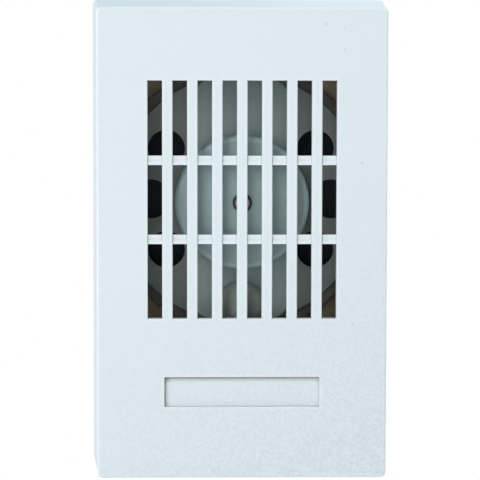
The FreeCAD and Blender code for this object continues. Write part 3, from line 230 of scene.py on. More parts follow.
def blend_colours(tree, factor, first, second, mode="MIX"):
    """A mix of two colours, which the Mix node takes at its sockets 6 and 7 and gives at 2."""
    inputs = {0: factor, 6: first, 7: second}
    return put(tree, "ShaderNodeMix", inputs, data_type="RGBA", blend_type=mode).outputs[2]


def shaded(colour_now, share=1.0):
    """A colour as a shader takes it, made darker or lighter by a share."""
    return tuple(share * part for part in colour_now) + (1.0,)


def shared_group(name, inputs, outputs):
    """A new shader group. Gives its tree, its input sockets and its output node.

    An input is given with its default, a number or a vector, or with the name of its kind.
    """
    tree = bpy.data.node_groups.new(name, "ShaderNodeTree")
    for title, value in inputs.items():
        kind = "Vector" if isinstance(value, tuple) else "Float"
        if isinstance(value, str):
            kind = value
        socket = tree.interface.new_socket(title, in_out="INPUT", socket_type=f"NodeSocket{kind}")
        if value != kind:
            socket.default_value = value
    for title, kind in outputs.items():
        tree.interface.new_socket(title, in_out="OUTPUT", socket_type=f"NodeSocket{kind}")
    start = tree.nodes.new("NodeGroupInput")
    end = tree.nodes.new("NodeGroupOutput")
    return tree, start.outputs, end


# Effects that several finishes share, and the sockets that their groups have in common

WHITE = (1.0, 1.0, 1.0)
SURFACE = {"Colour": "Color", "Roughness": "Float", "Height": "Float"}
MASK = {"Mask": "Float"}
ROUND_AN_AXIS = {"Point": "Vector", "Centre": (0.0, 0.0, 0.0), "Across": (1.0, 0.0, 1.0)}


def make_moulded_grain():
    """Cloudy colour, fine grain and a few dark specks of a moulded plastic."""
    inputs = {
        "Point": "Vector", "Colour": "Color", "Deep Colour": "Color", "Cloud Scale": 120.0,
        "Grain Scale": 2000.0, "Speck Scale": 300.0, "Speck Share": 0.03, "Roughness": 0.4, "Spread": 0.1,
    }
    cloud_share, grain_share = 0.6, 0.55
    speck_shade, speck_strength = 0.3, 0.35
    tree, given, end = shared_group("Moulded Grain", inputs, SURFACE)
    cloud = noise(tree, given["Point"], given["Cloud Scale"], detail=4.0, roughness=0.6)
    grain = noise(tree, given["Point"], given["Grain Scale"])
    mixed = calc(tree, "MULTIPLY_ADD", grain, grain_share, calc(tree, "MULTIPLY", cloud, cloud_share))
    shade = stretch(tree, mixed, low=0.3, high=0.85)
    plain = blend_colours(tree, shade, given["Deep Colour"], given["Colour"])
    cells = put(tree, "ShaderNodeTexVoronoi", {"Vector": given["Point"], "Scale": given["Speck Scale"]})
    near = stretch(tree, cells.outputs["Distance"], low=0.16, high=0.04)
    pick = put(tree, "ShaderNodeSeparateColor", {"Color": cells.outputs["Color"]}).outputs[0]
    chosen = calc(tree, "LESS_THAN", pick, given["Speck Share"])
    speck = calc(tree, "MULTIPLY", calc(tree, "MULTIPLY", near, chosen), speck_strength)
    darker = blend_colours(tree, 1.0, plain, shaded(WHITE, speck_shade), "MULTIPLY")
    offset = calc(tree, "SUBTRACT", grain, 0.5)
    feed(tree, end, {
        "Colour": blend_colours(tree, speck, plain, darker),
        "Roughness": calc(tree, "MULTIPLY_ADD", offset, given["Spread"], given["Roughness"], clamp=True),
        "Height": grain,
    })
    return tree


def make_rolled_sheet():
    """Blotches and fine drawn scratches of plated or rolled metal."""
    inputs = {
        "Point": "Vector", "Colour": "Color", "Dark Colour": "Color", "Blotch Scale": 150.0,
        "Scratch Scale": 900.0, "Scratch Stretch": (1.0, 1.0, 0.06), "Roughness": 0.35, "Spread": 0.2,
    }
    scratch_share = 0.35
    tree, given, end = shared_group("Rolled Sheet", inputs, SURFACE)
    blotch = noise(tree, given["Point"], given["Blotch Scale"], detail=5.0, roughness=0.62)
    drawn = vector_calc(tree, "MULTIPLY", given["Point"], given["Scratch Stretch"])["Vector"]
    scratch = noise(tree, drawn, given["Scratch Scale"], detail=3.0, roughness=0.7)
    mixed = calc(tree, "MULTIPLY_ADD", scratch, scratch_share, blotch)
    shade = stretch(tree, mixed, low=0.45, high=0.9)
    offset = calc(tree, "SUBTRACT", calc(tree, "ADD", scratch, blotch), 1.0)
    feed(tree, end, {
        "Colour": blend_colours(tree, shade, given["Dark Colour"], given["Colour"]),
        "Roughness": calc(tree, "MULTIPLY_ADD", offset, given["Spread"], given["Roughness"], clamp=True),
        "Height": scratch,
    })
    return tree


def reach_from_axis(tree, given):
    """Distance from an axis, counted in the directions that Across keeps."""
    offset = vector_calc(tree, "SUBTRACT", given["Point"], given["Centre"])["Vector"]
    flat = vector_calc(tree, "MULTIPLY", offset, given["Across"])["Vector"]
    return vector_calc(tree, "LENGTH", flat)["Value"]


def make_painted_rim_light():
    """A band for a painted highlight, which grows towards the outer edge of a round piece."""
    inputs = {**ROUND_AN_AXIS, "Inner": 0.014, "Outer": 0.017}
    tree, given, end = shared_group("Polished Rim", inputs, MASK)
    reach = reach_from_axis(tree, given)
    feed(tree, end, {"Mask": stretch(tree, reach, given["Inner"], given["Outer"])})
    return tree


def make_turned_rings():
    """Fine rings round an axis, as a lathe leaves them."""
    inputs = {**ROUND_AN_AXIS, "Pitch": 0.0002}
    tree, given, end = shared_group("Turned Rings", inputs, MASK)
    steps = calc(tree, "DIVIDE", reach_from_axis(tree, given), given["Pitch"])
    waves = {"W": steps, "Scale": 0.9, "Detail": 3.0}
    uneven = put(tree, "ShaderNodeTexNoise", waves, noise_dimensions="1D").outputs["Fac"]
    feed(tree, end, {"Mask": stretch(tree, uneven, low=0.3, high=0.7)})
    return tree


def make_painted_slope():
    """Painted shade in fine mottled patches that thickens along a way, as a rule down and to the right."""
    inputs = {
        "Point": "Vector", "Way": (0.45, 0.0, -1.0), "High": -0.03, "Low": 0.068, "Scale": 1300.0,
        "Share": 0.4,
    }
    tree, given, end = shared_group("Low Grime", inputs, MASK)
    along = vector_calc(tree, "DOT_PRODUCT", given["Point"], given["Way"])["Value"]
    depth = stretch(tree, along, given["High"], given["Low"], new_low=0.1, new_high=1.1)
    deeper = calc(tree, "POWER", depth, 2.0)
    cloud = noise(tree, given["Point"], given["Scale"], detail=4.0, roughness=0.7)
    patches = stretch(tree, cloud, low=0.34, high=0.66, new_high=1.4)
    whole = calc(tree, "MULTIPLY", calc(tree, "MULTIPLY", deeper, patches), given["Share"])
    feed(tree, end, {"Mask": whole})
    return tree


def make_front_film():
    """A patchy film on the faces that look out between two depths from the wall."""
    inputs = {"Point": "Vector", "Start": -0.019, "Full": -0.0197, "Scale": 260.0, "Share": 0.9}
    tree, given, end = shared_group("Front Film", inputs, MASK)
    depth = put(tree, "ShaderNodeSeparateXYZ", {0: given["Point"]}).outputs["Y"]
    near = stretch(tree, depth, given["Start"], given["Full"])
    cloud = noise(tree, given["Point"], given["Scale"], detail=4.0, roughness=0.6)
    patches = stretch(tree, cloud, low=0.3, high=0.7, new_low=0.55)
    whole = calc(tree, "MULTIPLY", calc(tree, "MULTIPLY", near, patches), given["Share"])
    feed(tree, end, {"Mask": whole})
    return tree


def make_corner_shade_and_edges():
    """Painted shade in the corners of the faces that don't look along Lean, the way the light comes from,
    and lighter outer edges, partly scuffs and partly painted highlight.
    """
    inputs = {"Reach": 0.001, "Dust": 0.5, "Wear": 0.5, "Lean": (0.0, 0.0, 0.0), "Corner": 0.001}
    tree, given, end = shared_group("Dust And Wear", inputs, {"Dust": "Float", "Wear": "Float"})
    face = put(tree, "ShaderNodeNewGeometry").outputs["Normal"]
    leaning = vector_calc(tree, "ADD", face, given["Lean"])["Vector"]
    upright = vector_calc(tree, "NORMALIZE", leaning)["Vector"]
    corner = {"Distance": given["Corner"], "Normal": upright}
    # Painted shade: corners that the light reaches less are darkened.
    corners = put(tree, "ShaderNodeAmbientOcclusion", corner, samples=8).outputs["AO"]
    edge = {"Distance": given["Reach"]}
    # Lighter outer edges: partly scuffs, partly painted highlight.
    edges = put(tree, "ShaderNodeAmbientOcclusion", edge, samples=6, inside=True).outputs["AO"]
    # Faces that look towards the light, along Lean, get less of the painted shade.
    ahead = vector_calc(tree, "DOT_PRODUCT", face, given["Lean"])["Value"]
    turned_away = stretch(tree, ahead, low=0.75, high=0.0)
    dust = calc(tree, "MULTIPLY", stretch(tree, corners, low=0.85, high=0.35), turned_away)
    wear = stretch(tree, edges, low=0.97, high=0.5)
    feed(tree, end, {
        "Dust": calc(tree, "MULTIPLY", dust, given["Dust"], clamp=True),
        "Wear": calc(tree, "MULTIPLY", wear, given["Wear"], clamp=True),
    })
    return tree


GROUPS = {}


def use_effect(tree, maker, inputs):
    """Places a shared effect, which its maker builds on the first use, and gives its results."""
    if maker not in GROUPS:
        GROUPS[maker] = maker()
    return put(tree, "ShaderNodeGroup", inputs, node_tree=GROUPS[maker]).outputs


# Finishes


def axis_through(low, high):
    """Where the axis of a round piece meets the wall."""
    return ((low.x + high.x) / 2, 0.0, (low.z + high.z) / 2)


BELL_AXIS = axis_through(BELL_LOW, BELL_HIGH)
BALL_AXIS = axis_through(BALL_LOW, BALL_HIGH)

# How the scratches of a metal are drawn out: a small number is a long scratch that way
UP_GRAIN = (1.0, 1.0, 0.05)
SIDE_GRAIN = (0.05, 1.0, 1.0)
OUTWARD_GRAIN = (1.0, 0.1, 1.0)

# One row for each finish, under the columns named first. edge is the radius in mm that softens its
# edges, deep the share of its colour in its darker places, and cloud, grain, speck_scale, blotch and
# scratch are the scales of its patterns: the larger, the finer.
# One column is the strength of painted shade in corners, the next the strength of lighter edges, partly
# scuffs and partly painted highlight.
MOULDED_COLUMNS = (
    "rough", "spread", "bump", "edge", "deep", "dust", "wear", "cloud", "grain", "specks", "speck_scale",
)
MOULDED = {
    "cover_plastic": (0.5, 0.14, 0.035, 0.25, 0.975, 0.9, 0.6, 300.0, 1500.0, 0.05, 420.0),
    "board_brown": (0.55, 0.2, 0.1, 0.08, 0.72, 0.2, 0.1, 180.0, 2200.0, 0.12, 700.0),
    "tray_plastic": (0.45, 0.2, 0.08, 0.2, 0.7, 0.3, 0.15, 90.0, 1800.0, 0.08, 420.0),
    "cup_plastic": (0.38, 0.2, 0.06, 0.2, 0.6, 0.15, 0.15, 110.0, 2200.0, 0.03, 420.0),
    "block_plastic": (0.3, 0.2, 0.06, 0.15, 0.6, 0.3, 0.2, 200.0, 2600.0, 0.1, 600.0),
    "bobbin_plastic": (0.42, 0.15, 0.05, 0.12, 0.85, 0.3, 0.0, 150.0, 2400.0, 0.04, 500.0),
    "insulator_board": (0.6, 0.2, 0.15, 0.08, 0.6, 0.2, 0.1, 300.0, 3500.0, 0.2, 900.0),
    "tape": (0.28, 0.2, 0.1, 0.0, 0.6, 0.2, 0.0, 160.0, 1400.0, 0.02, 500.0),
    "lead_sleeve": (0.7, 0.2, 0.3, 0.0, 0.55, 0.2, 0.0, 400.0, 4200.0, 0.1, 1500.0),
    "rubber": (0.62, 0.2, 0.12, 0.2, 0.6, 0.35, 0.0, 260.0, 3200.0, 0.05, 800.0),
}
METAL_COLUMNS = (
    "rough", "spread", "bump", "edge", "deep", "dust", "wear", "blotch", "scratch", "grain_way",
)
METAL = {
    "plated_steel": (0.52, 0.2, 0.04, 0.15, 0.8, 0.2, 0.2, 120.0, 1400.0, UP_GRAIN),
    "strap_steel": (0.5, 0.2, 0.04, 0.15, 0.8, 0.2, 0.2, 120.0, 1400.0, UP_GRAIN),
    "rivet_steel": (0.36, 0.2, 0.04, 0.12, 0.6, 0.3, 0.3, 400.0, 2400.0, SIDE_GRAIN),
    "screw_steel": (0.34, 0.2, 0.05, 0.1, 0.7, 0.95, 0.3, 500.0, 3000.0, SIDE_GRAIN),
    "dark_steel": (0.5, 0.2, 0.05, 0.05, 0.7, 0.4, 0.1, 500.0, 3000.0, SIDE_GRAIN),
    "spring_steel": (0.26, 0.15, 0.02, 0.0, 0.6, 0.2, 0.2, 600.0, 2600.0, SIDE_GRAIN),
    "hammer_metal": (0.58, 0.18, 0.04, 0.0, 0.8, 0.15, 0.3, 260.0, 1600.0, SIDE_GRAIN),
    "bell_metal": (0.46, 0.14, 0.03, 0.0, 0.85, 0.1, 0.2, 130.0, 1100.0, OUTWARD_GRAIN),
    "magnet_iron": (0.42, 0.2, 0.05, 0.12, 0.6, 0.4, 0.4, 260.0, 1500.0, SIDE_GRAIN),
    "brass": (0.28, 0.16, 0.03, 0.1, 0.6, 0.4, 0.3, 380.0, 2200.0, SIDE_GRAIN),
    "contact_bronze": (0.3, 0.16, 0.03, 0.08, 0.62, 0.3, 0.3, 300.0, 1900.0, UP_GRAIN),
    "contact_silver": (0.24, 0.14, 0.02, 0.05, 0.7, 0.3, 0.2, 500.0, 2600.0, SIDE_GRAIN),
    "copper_wire": (0.25, 0.15, 0.0, 0.0, 0.55, 0.35, 0.1, 200.0, 900.0, SIDE_GRAIN),
}

# What a finish has where SPECIAL says nothing else. reach is how far the lighter edges, scuffs and painted
# highlight, go in from an edge, in mm.
USUAL = {"shine": 0.5, "coat": 0.0, "reach": 1.0, "lean": (0.0, 0.0, 0.0), "grimy": 0.75}

# What only some finishes have. corner is how far painted corner shade spreads from a corner, in mm. The
# entries for the painted shade slope, the painted rim highlight and the rings are what those effects are
# given, and the two shares are those of its own colour that slope and rim paint.
SPECIAL = {
    "cover_plastic": {
        # The cover's painted shade slope darkens it towards the bottom right, and its lean points to the
        # upper left, where the light comes from.
        "shine": 0.3, "grime": {"Share": 0.39}, "reach": 1.1, "lean": (-0.5, 0.0, 0.75), "corner": 1.8,
    },
    "board_brown": {
        # Painted shade over the lower right of the boards.
        "grime": {"Share": 1.0, "Way": (1.6, 0.0, -1.0), "Scale": 9000.0}, "grimy": 0.2,
    },
    "tray_plastic": {"coat": 0.05},
    "cup_plastic": {"shine": 0.15},
    "block_plastic": {"coat": 0.2},
    "tape": {"coat": 0.3},
    "plated_steel": {"metallic": 0.35},
    "strap_steel": {
        # Painted shade that thickens towards the top of the strap.
        "metallic": 0.35, "grime": {"Share": 1.0, "Way": (0.0, 0.0, 1.0), "Scale": 9000.0}, "grimy": 0.55,
    },
    "screw_steel": {"metallic": 0.5, "reach": 0.6},
    "dark_steel": {"metallic": 0.5},
    "hammer_metal": {
        # Painted highlight that lightens the ball towards its edge.
        "metallic": 0.0, "shine": 0.15, "rim": {"Centre": BALL_AXIS, "Inner": 0.0028, "Outer": 0.0066},
        "rim_light_share": 1.36,
    },
    "bell_metal": {
        "metallic": 0.15, "coat": 0.15, "rings": {"Centre": BELL_AXIS, "Pitch": 0.00035},
        # Painted highlight round the bell's rim.
        "rim": {"Centre": BELL_AXIS, "Inner": 0.0159, "Outer": 0.0178}, "rim_light_share": 1.85,
    },
    "copper_wire": {"coat": 0.6},
}

FINISHES = {}
for metallic, columns, rows in ((0.0, MOULDED_COLUMNS, MOULDED), (1.0, METAL_COLUMNS, METAL)):
    for title, row in rows.items():
        common = dict(zip(columns, row), metallic=metallic)
        FINISHES[title] = {**USUAL, **common, **SPECIAL.get(title, {})}

# Painted corner shade is a share of a finish's own colour, and a lighter edge, scuffs and painted
# highlight, is that colour times a gain, plus a lift
CORNER_SHADE_SHARE = 0.35
EDGE_GAIN, EDGE_LIFT = 1.25, 0.02
COAT_ROUGHNESS = 0.2
BUMP_DEPTH = 0.2 * MM
EDGE_SAMPLES = 6


def finish_surface(tree, name, point):
    """The colour, roughness and height of one finish, from the shared groups."""
    values = FINISHES[name]
    base = getattr(bpy.context.scene.doorbell_colours, name)
    dark = shaded(base, values["deep"])
    inputs = {
        "Point": point, "Colour": shaded(base), "Roughness": values["rough"], "Spread": values["spread"],
    }
    if name in MOULDED:
        inputs.update({
            "Deep Colour": dark, "Cloud Scale": values["cloud"], "Grain Scale": values["grain"],
            "Speck Scale": values["speck_scale"], "Speck Share": values["specks"],
        })
        return use_effect(tree, make_moulded_grain, inputs)
    inputs.update({
        "Dark Colour": dark, "Blotch Scale": values["blotch"], "Scratch Scale": values["scratch"],
        "Scratch Stretch": values["grain_way"],
    })
    return use_effect(tree, make_rolled_sheet, inputs)


def finish_layers(tree, name, point):
    """What lies over a finish's own colour, as (mask, colour), the lowest first."""
    values = FINISHES[name]
    colours = bpy.context.scene.doorbell_colours
    base = getattr(colours, name)
    painted_masks = use_effect(tree, make_corner_shade_and_edges, {
        "Dust": values["dust"], "Wear": values["wear"], "Lean": values["lean"],
        "Reach": values["reach"] * MM, "Corner": values.get("corner", values["reach"]) * MM,
    })
    # Painted shade for corners, and a lighter colour for edges that are partly scuffs, partly painted
    # highlight.
    painted_shade_colour = shaded(base, CORNER_SHADE_SHARE)
    scuffed_highlight_colour = shaded(min(1.0, EDGE_GAIN * part + EDGE_LIFT) for part in base)
    if name == "cover_plastic":
        painted_shade_colour, scuffed_highlight_colour = shaded(colours.cover_dust), shaded(colours.cover_edge)
    layers = [(painted_masks["Dust"], painted_shade_colour), (painted_masks["Wear"], scuffed_highlight_colour)]
    # Painted shade that thickens along a way.
    if "grime" in values:
        grime = use_effect(tree, make_painted_slope, {"Point": point, **values["grime"]})
        layers.append((grime["Mask"], shaded(base, values["grimy"])))
    if name == "cup_plastic":
        film = use_effect(tree, make_front_film, {"Point": point})
        layers.append((film["Mask"], shaded(colours.cup_film)))
    # Painted highlight towards the rim of a round piece.
    if "rim" in values:
        rim = use_effect(tree, make_painted_rim_light, {"Point": point, **values["rim"]})
        layers.append((rim["Mask"], shaded(base, values["rim_light_share"])))
    return layers


def finish(name):
    """A procedural material for one finish."""
    values = FINISHES[name]
    material = bpy.data.materials.new(f"{name}_finish")
    material.use_nodes = True
    tree = material.node_tree
    point = put(tree, "ShaderNodeTexCoord").outputs["Object"]
    surface = finish_surface(tree, name, point)
    colour_now, rough, height = surface["Colour"], surface["Roughness"], surface["Height"]
    for mask, layer in finish_layers(tree, name, point):
        colour_now = blend_colours(tree, mask, colour_now, layer)
    if "rings" in values:
        ring_roughness, ring_height = 0.08, 0.5
        rings = use_effect(tree, make_turned_rings, {"Point": point, **values["rings"]})
        rough = calc(tree, "MULTIPLY_ADD", rings["Mask"], ring_roughness, rough)
        height = calc(tree, "MULTIPLY_ADD", rings["Mask"], ring_height, height)
    relief = {"Strength": values["bump"], "Distance": BUMP_DEPTH, "Height": height}
    if values["edge"]:
        edge = {"Radius": values["edge"] * MM}
        relief["Normal"] = put(tree, "ShaderNodeBevel", edge, samples=EDGE_SAMPLES).outputs["Normal"]
    feed(tree, tree.nodes["Principled BSDF"], {
        "Base Color": colour_now, "Roughness": rough, "Metallic": values["metallic"],
        "Specular IOR Level": values["shine"], "Coat Weight": values["coat"],
        "Coat Roughness": COAT_ROUGHNESS, "Normal": put(tree, "ShaderNodeBump", relief).outputs["Normal"],
    })
    return material


MADE = {}


def coat(piece, *finish_names):
    """Gives a piece these finishes and no others. Each is made on its first use."""
    piece.data.materials.clear()
    for name in finish_names:
        if name not in MADE:
            MADE[name] = finish(name)
        piece.data.materials.append(MADE[name])


def dress(*names, finish_name=None):
    """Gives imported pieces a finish, as a rule that of their own material slot."""
    for name in names:
        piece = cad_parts[name]
        coat(piece, finish_name or piece.data.materials[0].name)


# Mesh helpers


def piece_from(name, grid, *finish_names, marks=None, smooth=True):
    """A new mesh piece with outward normals. marks gives the number of each face's finish."""
    points, faces = grid
    mesh = bpy.data.meshes.new(name)
    mesh.from_pydata([tuple(point) for point in points], [], faces)
    work = bmesh.new()
    work.from_mesh(mesh)
    if marks:
        work.faces.ensure_lookup_table()
        for face, number in zip(work.faces, marks):
            face.material_index = number
    bmesh.ops.remove_doubles(work, verts=work.verts, dist=1e-7)
    bmesh.ops.recalc_face_normals(work, faces=work.faces)
    for face in work.faces:
        face.smooth = smooth
    work.to_mesh(mesh)
    work.free()
    piece = bpy.data.objects.new(name, mesh)
    coat(piece, *finish_names)
    bpy.context.scene.collection.objects.link(piece)
    return piece


def settle(piece, body, slot_name, *replaced):
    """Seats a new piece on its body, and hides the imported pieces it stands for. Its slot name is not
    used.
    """
    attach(piece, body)
    if replaced:
        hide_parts(*replaced)


def part_turn(step, steps):
    """The angle of one of the equal steps of a full turn."""
    return 2 * math.pi * step / steps


def arc(centre, radius, start, end, steps):
    """Points of an arc in a profile, angles in degrees."""
    points = []
    for step in range(steps + 1):
        turn = math.radians(start + (end - start) * step / steps)
        points.append((centre[0] + radius * math.cos(turn), centre[1] + radius * math.sin(turn)))
    return points


def coil_places(start, end, turns, steps):
    """The way along and the angle of each point of a coil."""
    for step in range(turns * steps + 1):
        yield start + (end - start) * step / (turns * steps), part_turn(step, steps)


def wound_faces(rows, steps, closed=False):
    """Faces between rows of points round a piece. A closed one joins its last row to its first."""
    faces = []
    for row in range(rows if closed else rows - 1):
        low, high = row * steps, (row + 1) % rows * steps
        for step in range(steps):
            after = (step + 1) % steps
            faces.append((low + step, low + after, high + after, high + step))
    if not closed:
        last = (rows - 1) * steps
        faces.append(tuple(range(steps)))
        faces.append(tuple(last + step for step in reversed(range(steps))))
    return faces


def lathe_grid(profile, axis, steps, closed=False):
    """Points and faces of a profile of (radius, along) turned round an axis."""
    points = []
    for radius, along in profile:
        points += [axis(radius, along, part_turn(step, steps)) for step in range(steps)]
    return points, wound_faces(len(profile), steps, closed)


def about_x(centre):
    """Turning axis from side to side, for lathe_grid."""
    return lambda radius, along, turn: (
        along, centre[1] + radius * math.cos(turn), centre[2] + radius * math.sin(turn),
    )


def about_y(centre):
    """Turning axis square to the wall. along counts out from the wall."""
    return lambda radius, along, turn: (
        centre[0] + radius * math.cos(turn), -along, centre[2] + radius * math.sin(turn),
    )


def about_z(centre):
    """Upright turning axis."""
    return lambda radius, along, turn: (
        centre[0] + radius * math.cos(turn), centre[1] + radius * math.sin(turn), along,
    )


def tube(path, radius, sides):
    """Points and faces of a round wire along a path, with closed ends."""
    path = [Vector(point) for point in path]
    points = []
    ahead = (path[1] - path[0]).normalized()
    side = ahead.orthogonal().normalized()
    for number, centre in enumerate(path):
        last, following = path[max(number - 1, 0)], path[min(number + 1, len(path) - 1)]
        now = (following - last).normalized()
        side = (side - now * side.dot(now)).normalized()
        other = now.cross(side)
        for step in range(sides):
            turn = part_turn(step, sides)
            points.append(centre + radius * (math.cos(turn) * side + math.sin(turn) * other))
    return points, wound_faces(len(path), sides)


def join(*grids):
    """Puts several grids into one."""
    points, faces = [], []
    for grid_points, grid_faces in grids:
        start = len(points)
        points.extend(grid_points)
        faces.extend(tuple(start + corner for corner in face) for face in grid_faces)
    return points, faces


def carve(piece, cutter):
    """Cuts one mesh out of another and drops the cutter."""
    step = piece.modifiers.new("carve", "BOOLEAN")
    step.object, step.operation, step.solver = cutter, "DIFFERENCE", "EXACT"
    shape = piece.evaluated_get(bpy.context.evaluated_depsgraph_get())
    mesh = bpy.data.meshes.new_from_object(shape)
    piece.modifiers.clear()
    piece.data = mesh
    bpy.data.objects.remove(cutter)


def box_grid(low, high):
    """Points and faces of a box between two corners."""
    points = [(x, y, z) for x in (low[0], high[0]) for y in (low[1], high[1]) for z in (low[2], high[2])]
    faces = [(0, 1, 3, 2), (4, 6, 7, 5), (0, 4, 5, 1), (2, 3, 7, 6), (0, 2, 6, 4), (1, 5, 7, 3)]
    return points, faces


# Pieces


def bell_profile(sizes):
    """The bell's closed section as (radius, distance out from the wall), from the hole round and back."""
    outer = (BELL_HIGH.x - BELL_LOW.x) / 2
    rim, wall, hole, lip = -BELL_HIGH.y, sizes.bell_wall, sizes.bell_hole, sizes.bell_lip
    shoulder, dome = sizes.bell_shoulder, sizes.bell_dome
    crown = -BELL_LOW.y + dome - math.sqrt(dome**2 - hole**2)
    middle_out = crown - dome
    corner = outer - shoulder
    lean = math.degrees(math.asin(corner / (dome - shoulder)))
    corner_out = middle_out + math.sqrt((dome - shoulder) ** 2 - corner**2)
    start = math.degrees(math.acos(hole / dome))
    lower = math.degrees(math.acos(hole / (dome - wall)))
    outside = arc((0.0, middle_out), dome, start, 90 - lean, steps=18)
    outside += arc((corner, corner_out), shoulder, 90 - lean, 0, steps=12)[1:]
    outside += arc((outer - lip, rim + lip), lip, 0, -90, steps=5)
    inside = arc((outer - wall + lip, rim + lip), lip, -90, -180, steps=5)
    inside += arc((corner, corner_out), shoulder - wall, 0, 90 - lean, steps=10)
    inside += arc((0.0, middle_out), dome - wall, 90 - lean, lower, steps=12)[1:]
    return outside + inside


def make_bell(sizes):
    """A dome turned in one piece, over its post and sleeve."""
    dome = lathe_grid(bell_profile(sizes), about_y(BELL_AXIS), steps=160, closed=True)
    bell = piece_from("bell_dome", dome, "bell_metal")
    settle(bell, "base", "bell_metal", "bell_shell")
    dress("bell_post", "bell_spacer")


def make_hammer(sizes):
    """A turned ball with a small pip on top and a crimped collar where the arm goes in."""
    centre = (BALL_LOW + BALL_HIGH) / 2
    radius = (BALL_HIGH.x - BALL_LOW.x) / 2
    collar, collar_end = sizes.ball_collar, centre.z - radius - 0.3 * MM
    arm_hole, pip_foot, pip_tip = 0.12 * radius, 0.09 * radius, 0.02 * radius
    pip_start, pip_foot_height = 84, 0.998
    collar_start = -math.degrees(math.acos(collar / radius))
    profile = [(arm_hole, collar_end), (collar, collar_end)]
    profile += arc((0.0, centre.z), radius, collar_start, pip_start, steps=60)
    profile += [(pip_foot, centre.z + radius * pip_foot_height), (pip_tip, centre.z + radius)]
    head = lathe_grid(profile, about_z(centre), steps=96)
    ball = piece_from("hammer_head", head, "hammer_metal")
    settle(ball, "hammer", "hammer_metal", "hammer_ball")
    dress("hammer_arm", "armature", "pole_shim")


def make_winding(sizes):
    """Close turns of enamelled wire over a plain under-layer, with a band of tape."""
    axis = (COIL_LOW + COIL_HIGH) / 2
    outer = (COIL_HIGH.z - COIL_LOW.z) / 2
    wire = sizes.wire
    inner, tape_thick, tape_start, sink = 5.3 * MM, 0.15 * MM, 2.5 * MM, 0.1 * wire
    line = outer - tape_thick - wire / 2
    under = line - sink
    start, end = COIL_LOW.x + wire / 2, COIL_HIGH.x - wire / 2
    turns = int((end - start) / wire)
    around = about_x(axis)
    path = [around(line, x, turn) for x, turn in coil_places(start, end, turns, steps=40)]
    section = [
        (inner, COIL_LOW.x), (under, COIL_LOW.x), (under, COIL_HIGH.x), (inner, COIL_HIGH.x),
    ]
    layer = lathe_grid(section, around, steps=64, closed=True)
    coil = join(tube(path, wire / 2, sides=6), layer)
    winding = piece_from("winding_turns", coil, "copper_wire")
    settle(winding, "base", "copper_wire", "coil_winding")
    left = COIL_LOW.x + tape_start
    right = left + sizes.tape_width
    ridges, groove, edge = 12, 0.05 * MM, outer - 0.02 * MM
    profile = [(line, left), (edge, left)]
    for step in range(ridges + 1):
        sunk = groove if step % 2 else 0.0
        profile.append((outer - sunk, left + (right - left) * step / ridges))
    profile += [(edge, right), (line, right)]
    band = lathe_grid(profile, around, steps=72, closed=True)
    tape = piece_from("winding_tape", band, "tape")
    settle(tape, "base", "insulator_board")


def lead_route(x, end_x, run_z, top_z, end_z, out, bend):
    """Down from a terminal, along under the magnet and up to the winding, with rounded corners."""
    path = [(x, -out, top_z), (x, -out, run_z + bend)]
    path += [(px, -out, pz) for px, pz in arc((x + bend, run_z + bend), bend, 180, 270, steps=10)[1:]]
    path += [(px, -out, pz) for px, pz in arc((end_x - bend, run_z + bend), bend, 270, 360, steps=10)]
    path.append((end_x, -out, end_z))
    return path


def make_leads(sizes):
    """Two sleeved wires with bare ends. The second runs above the first and ends beside it."""
    low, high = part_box("coil_lead_wires")
    out = -middle("coil_lead_wires").y
    radius, core = sizes.lead, sizes.lead_core
    bend, spacing, climb = 2.2 * MM, 1.8 * MM, 2.0 * MM
    bare, end_out, end_up = 3.4 * MM, 0.3 * MM, 0.7 * MM
    sleeve_top = high.z - bare
    climb_end = low.z + radius + spacing + bend + climb
    places = [
        (low.x + radius, high.x - radius, low.z + radius),
        (low.x + radius + 3 * spacing, high.x - radius - spacing, low.z + radius + spacing),
    ]
    sleeves, cores = [], []
    for x, end_x, run_z in places:
        route = lead_route(x, end_x, run_z, sleeve_top, climb_end, out, bend)
        sleeves.append(tube(route, radius, sides=14))
        bare_top = [(x, -out, high.z), (x, -out, sleeve_top - MM)]
        bare_end = [
            (end_x, -out, climb_end - MM), (end_x, -out, climb_end),
            (end_x, -out - end_out, climb_end + end_up),
        ]
        cores += [tube(bare_top, core, sides=10), tube(bare_end, core, sides=10)]
    wires = join(*sleeves, *cores)
    split = sum(len(faces) for points, faces in sleeves)
    marks = [0 if number < split else 1 for number in range(len(wires[1]))]
    leads = piece_from("coil_leads", wires, "lead_sleeve", "copper_wire", marks=marks)
    settle(leads, "base", "lead_sleeve", "coil_lead_wires")


SCREW_STEPS = 28
THREAD_RADIUS = 0.99 * MM
THREAD_DEPTH = 0.3
TIP_LENGTH, TIP_BEVEL, TIP_RADIUS, TIP_END_RADIUS = 0.7 * MM, 0.15 * MM, 0.8 * MM, 0.55 * MM
SLOT_DEPTH, SLOT_HALF_WIDTH, SLOT_HALF_LENGTH = 0.6 * MM, 0.25 * MM, 3 * MM

# The set screw's head, in mm: its section as (radius, along), its length and the height of its ridges
KNOB_PROFILE = [(1.7, 0.0), (2.15, 0.25), (2.15, 1.45), (1.8, 1.8)]
KNOB_LENGTH = 1.8
KNURL_HEIGHT = 0.07
KNURL_STEPS = 6


def thread_grid(start, end, axis, radius, pitch, rows_each=6):
    """A screw thread whose ridges wind round the X axis."""
    around = about_x(axis)
    rows = int((end - start) / pitch * rows_each)
    depth = THREAD_DEPTH * pitch
    points = []
    for row in range(rows + 1):
        x = start + (end - start) * row / rows
        for step in range(SCREW_STEPS):
            phase = (x / pitch - step / SCREW_STEPS) % 1.0
            here = radius - depth * abs(2 * phase - 1)
            points.append(around(here, x, part_turn(step, SCREW_STEPS)))
    return points, wound_faces(rows + 1, SCREW_STEPS)


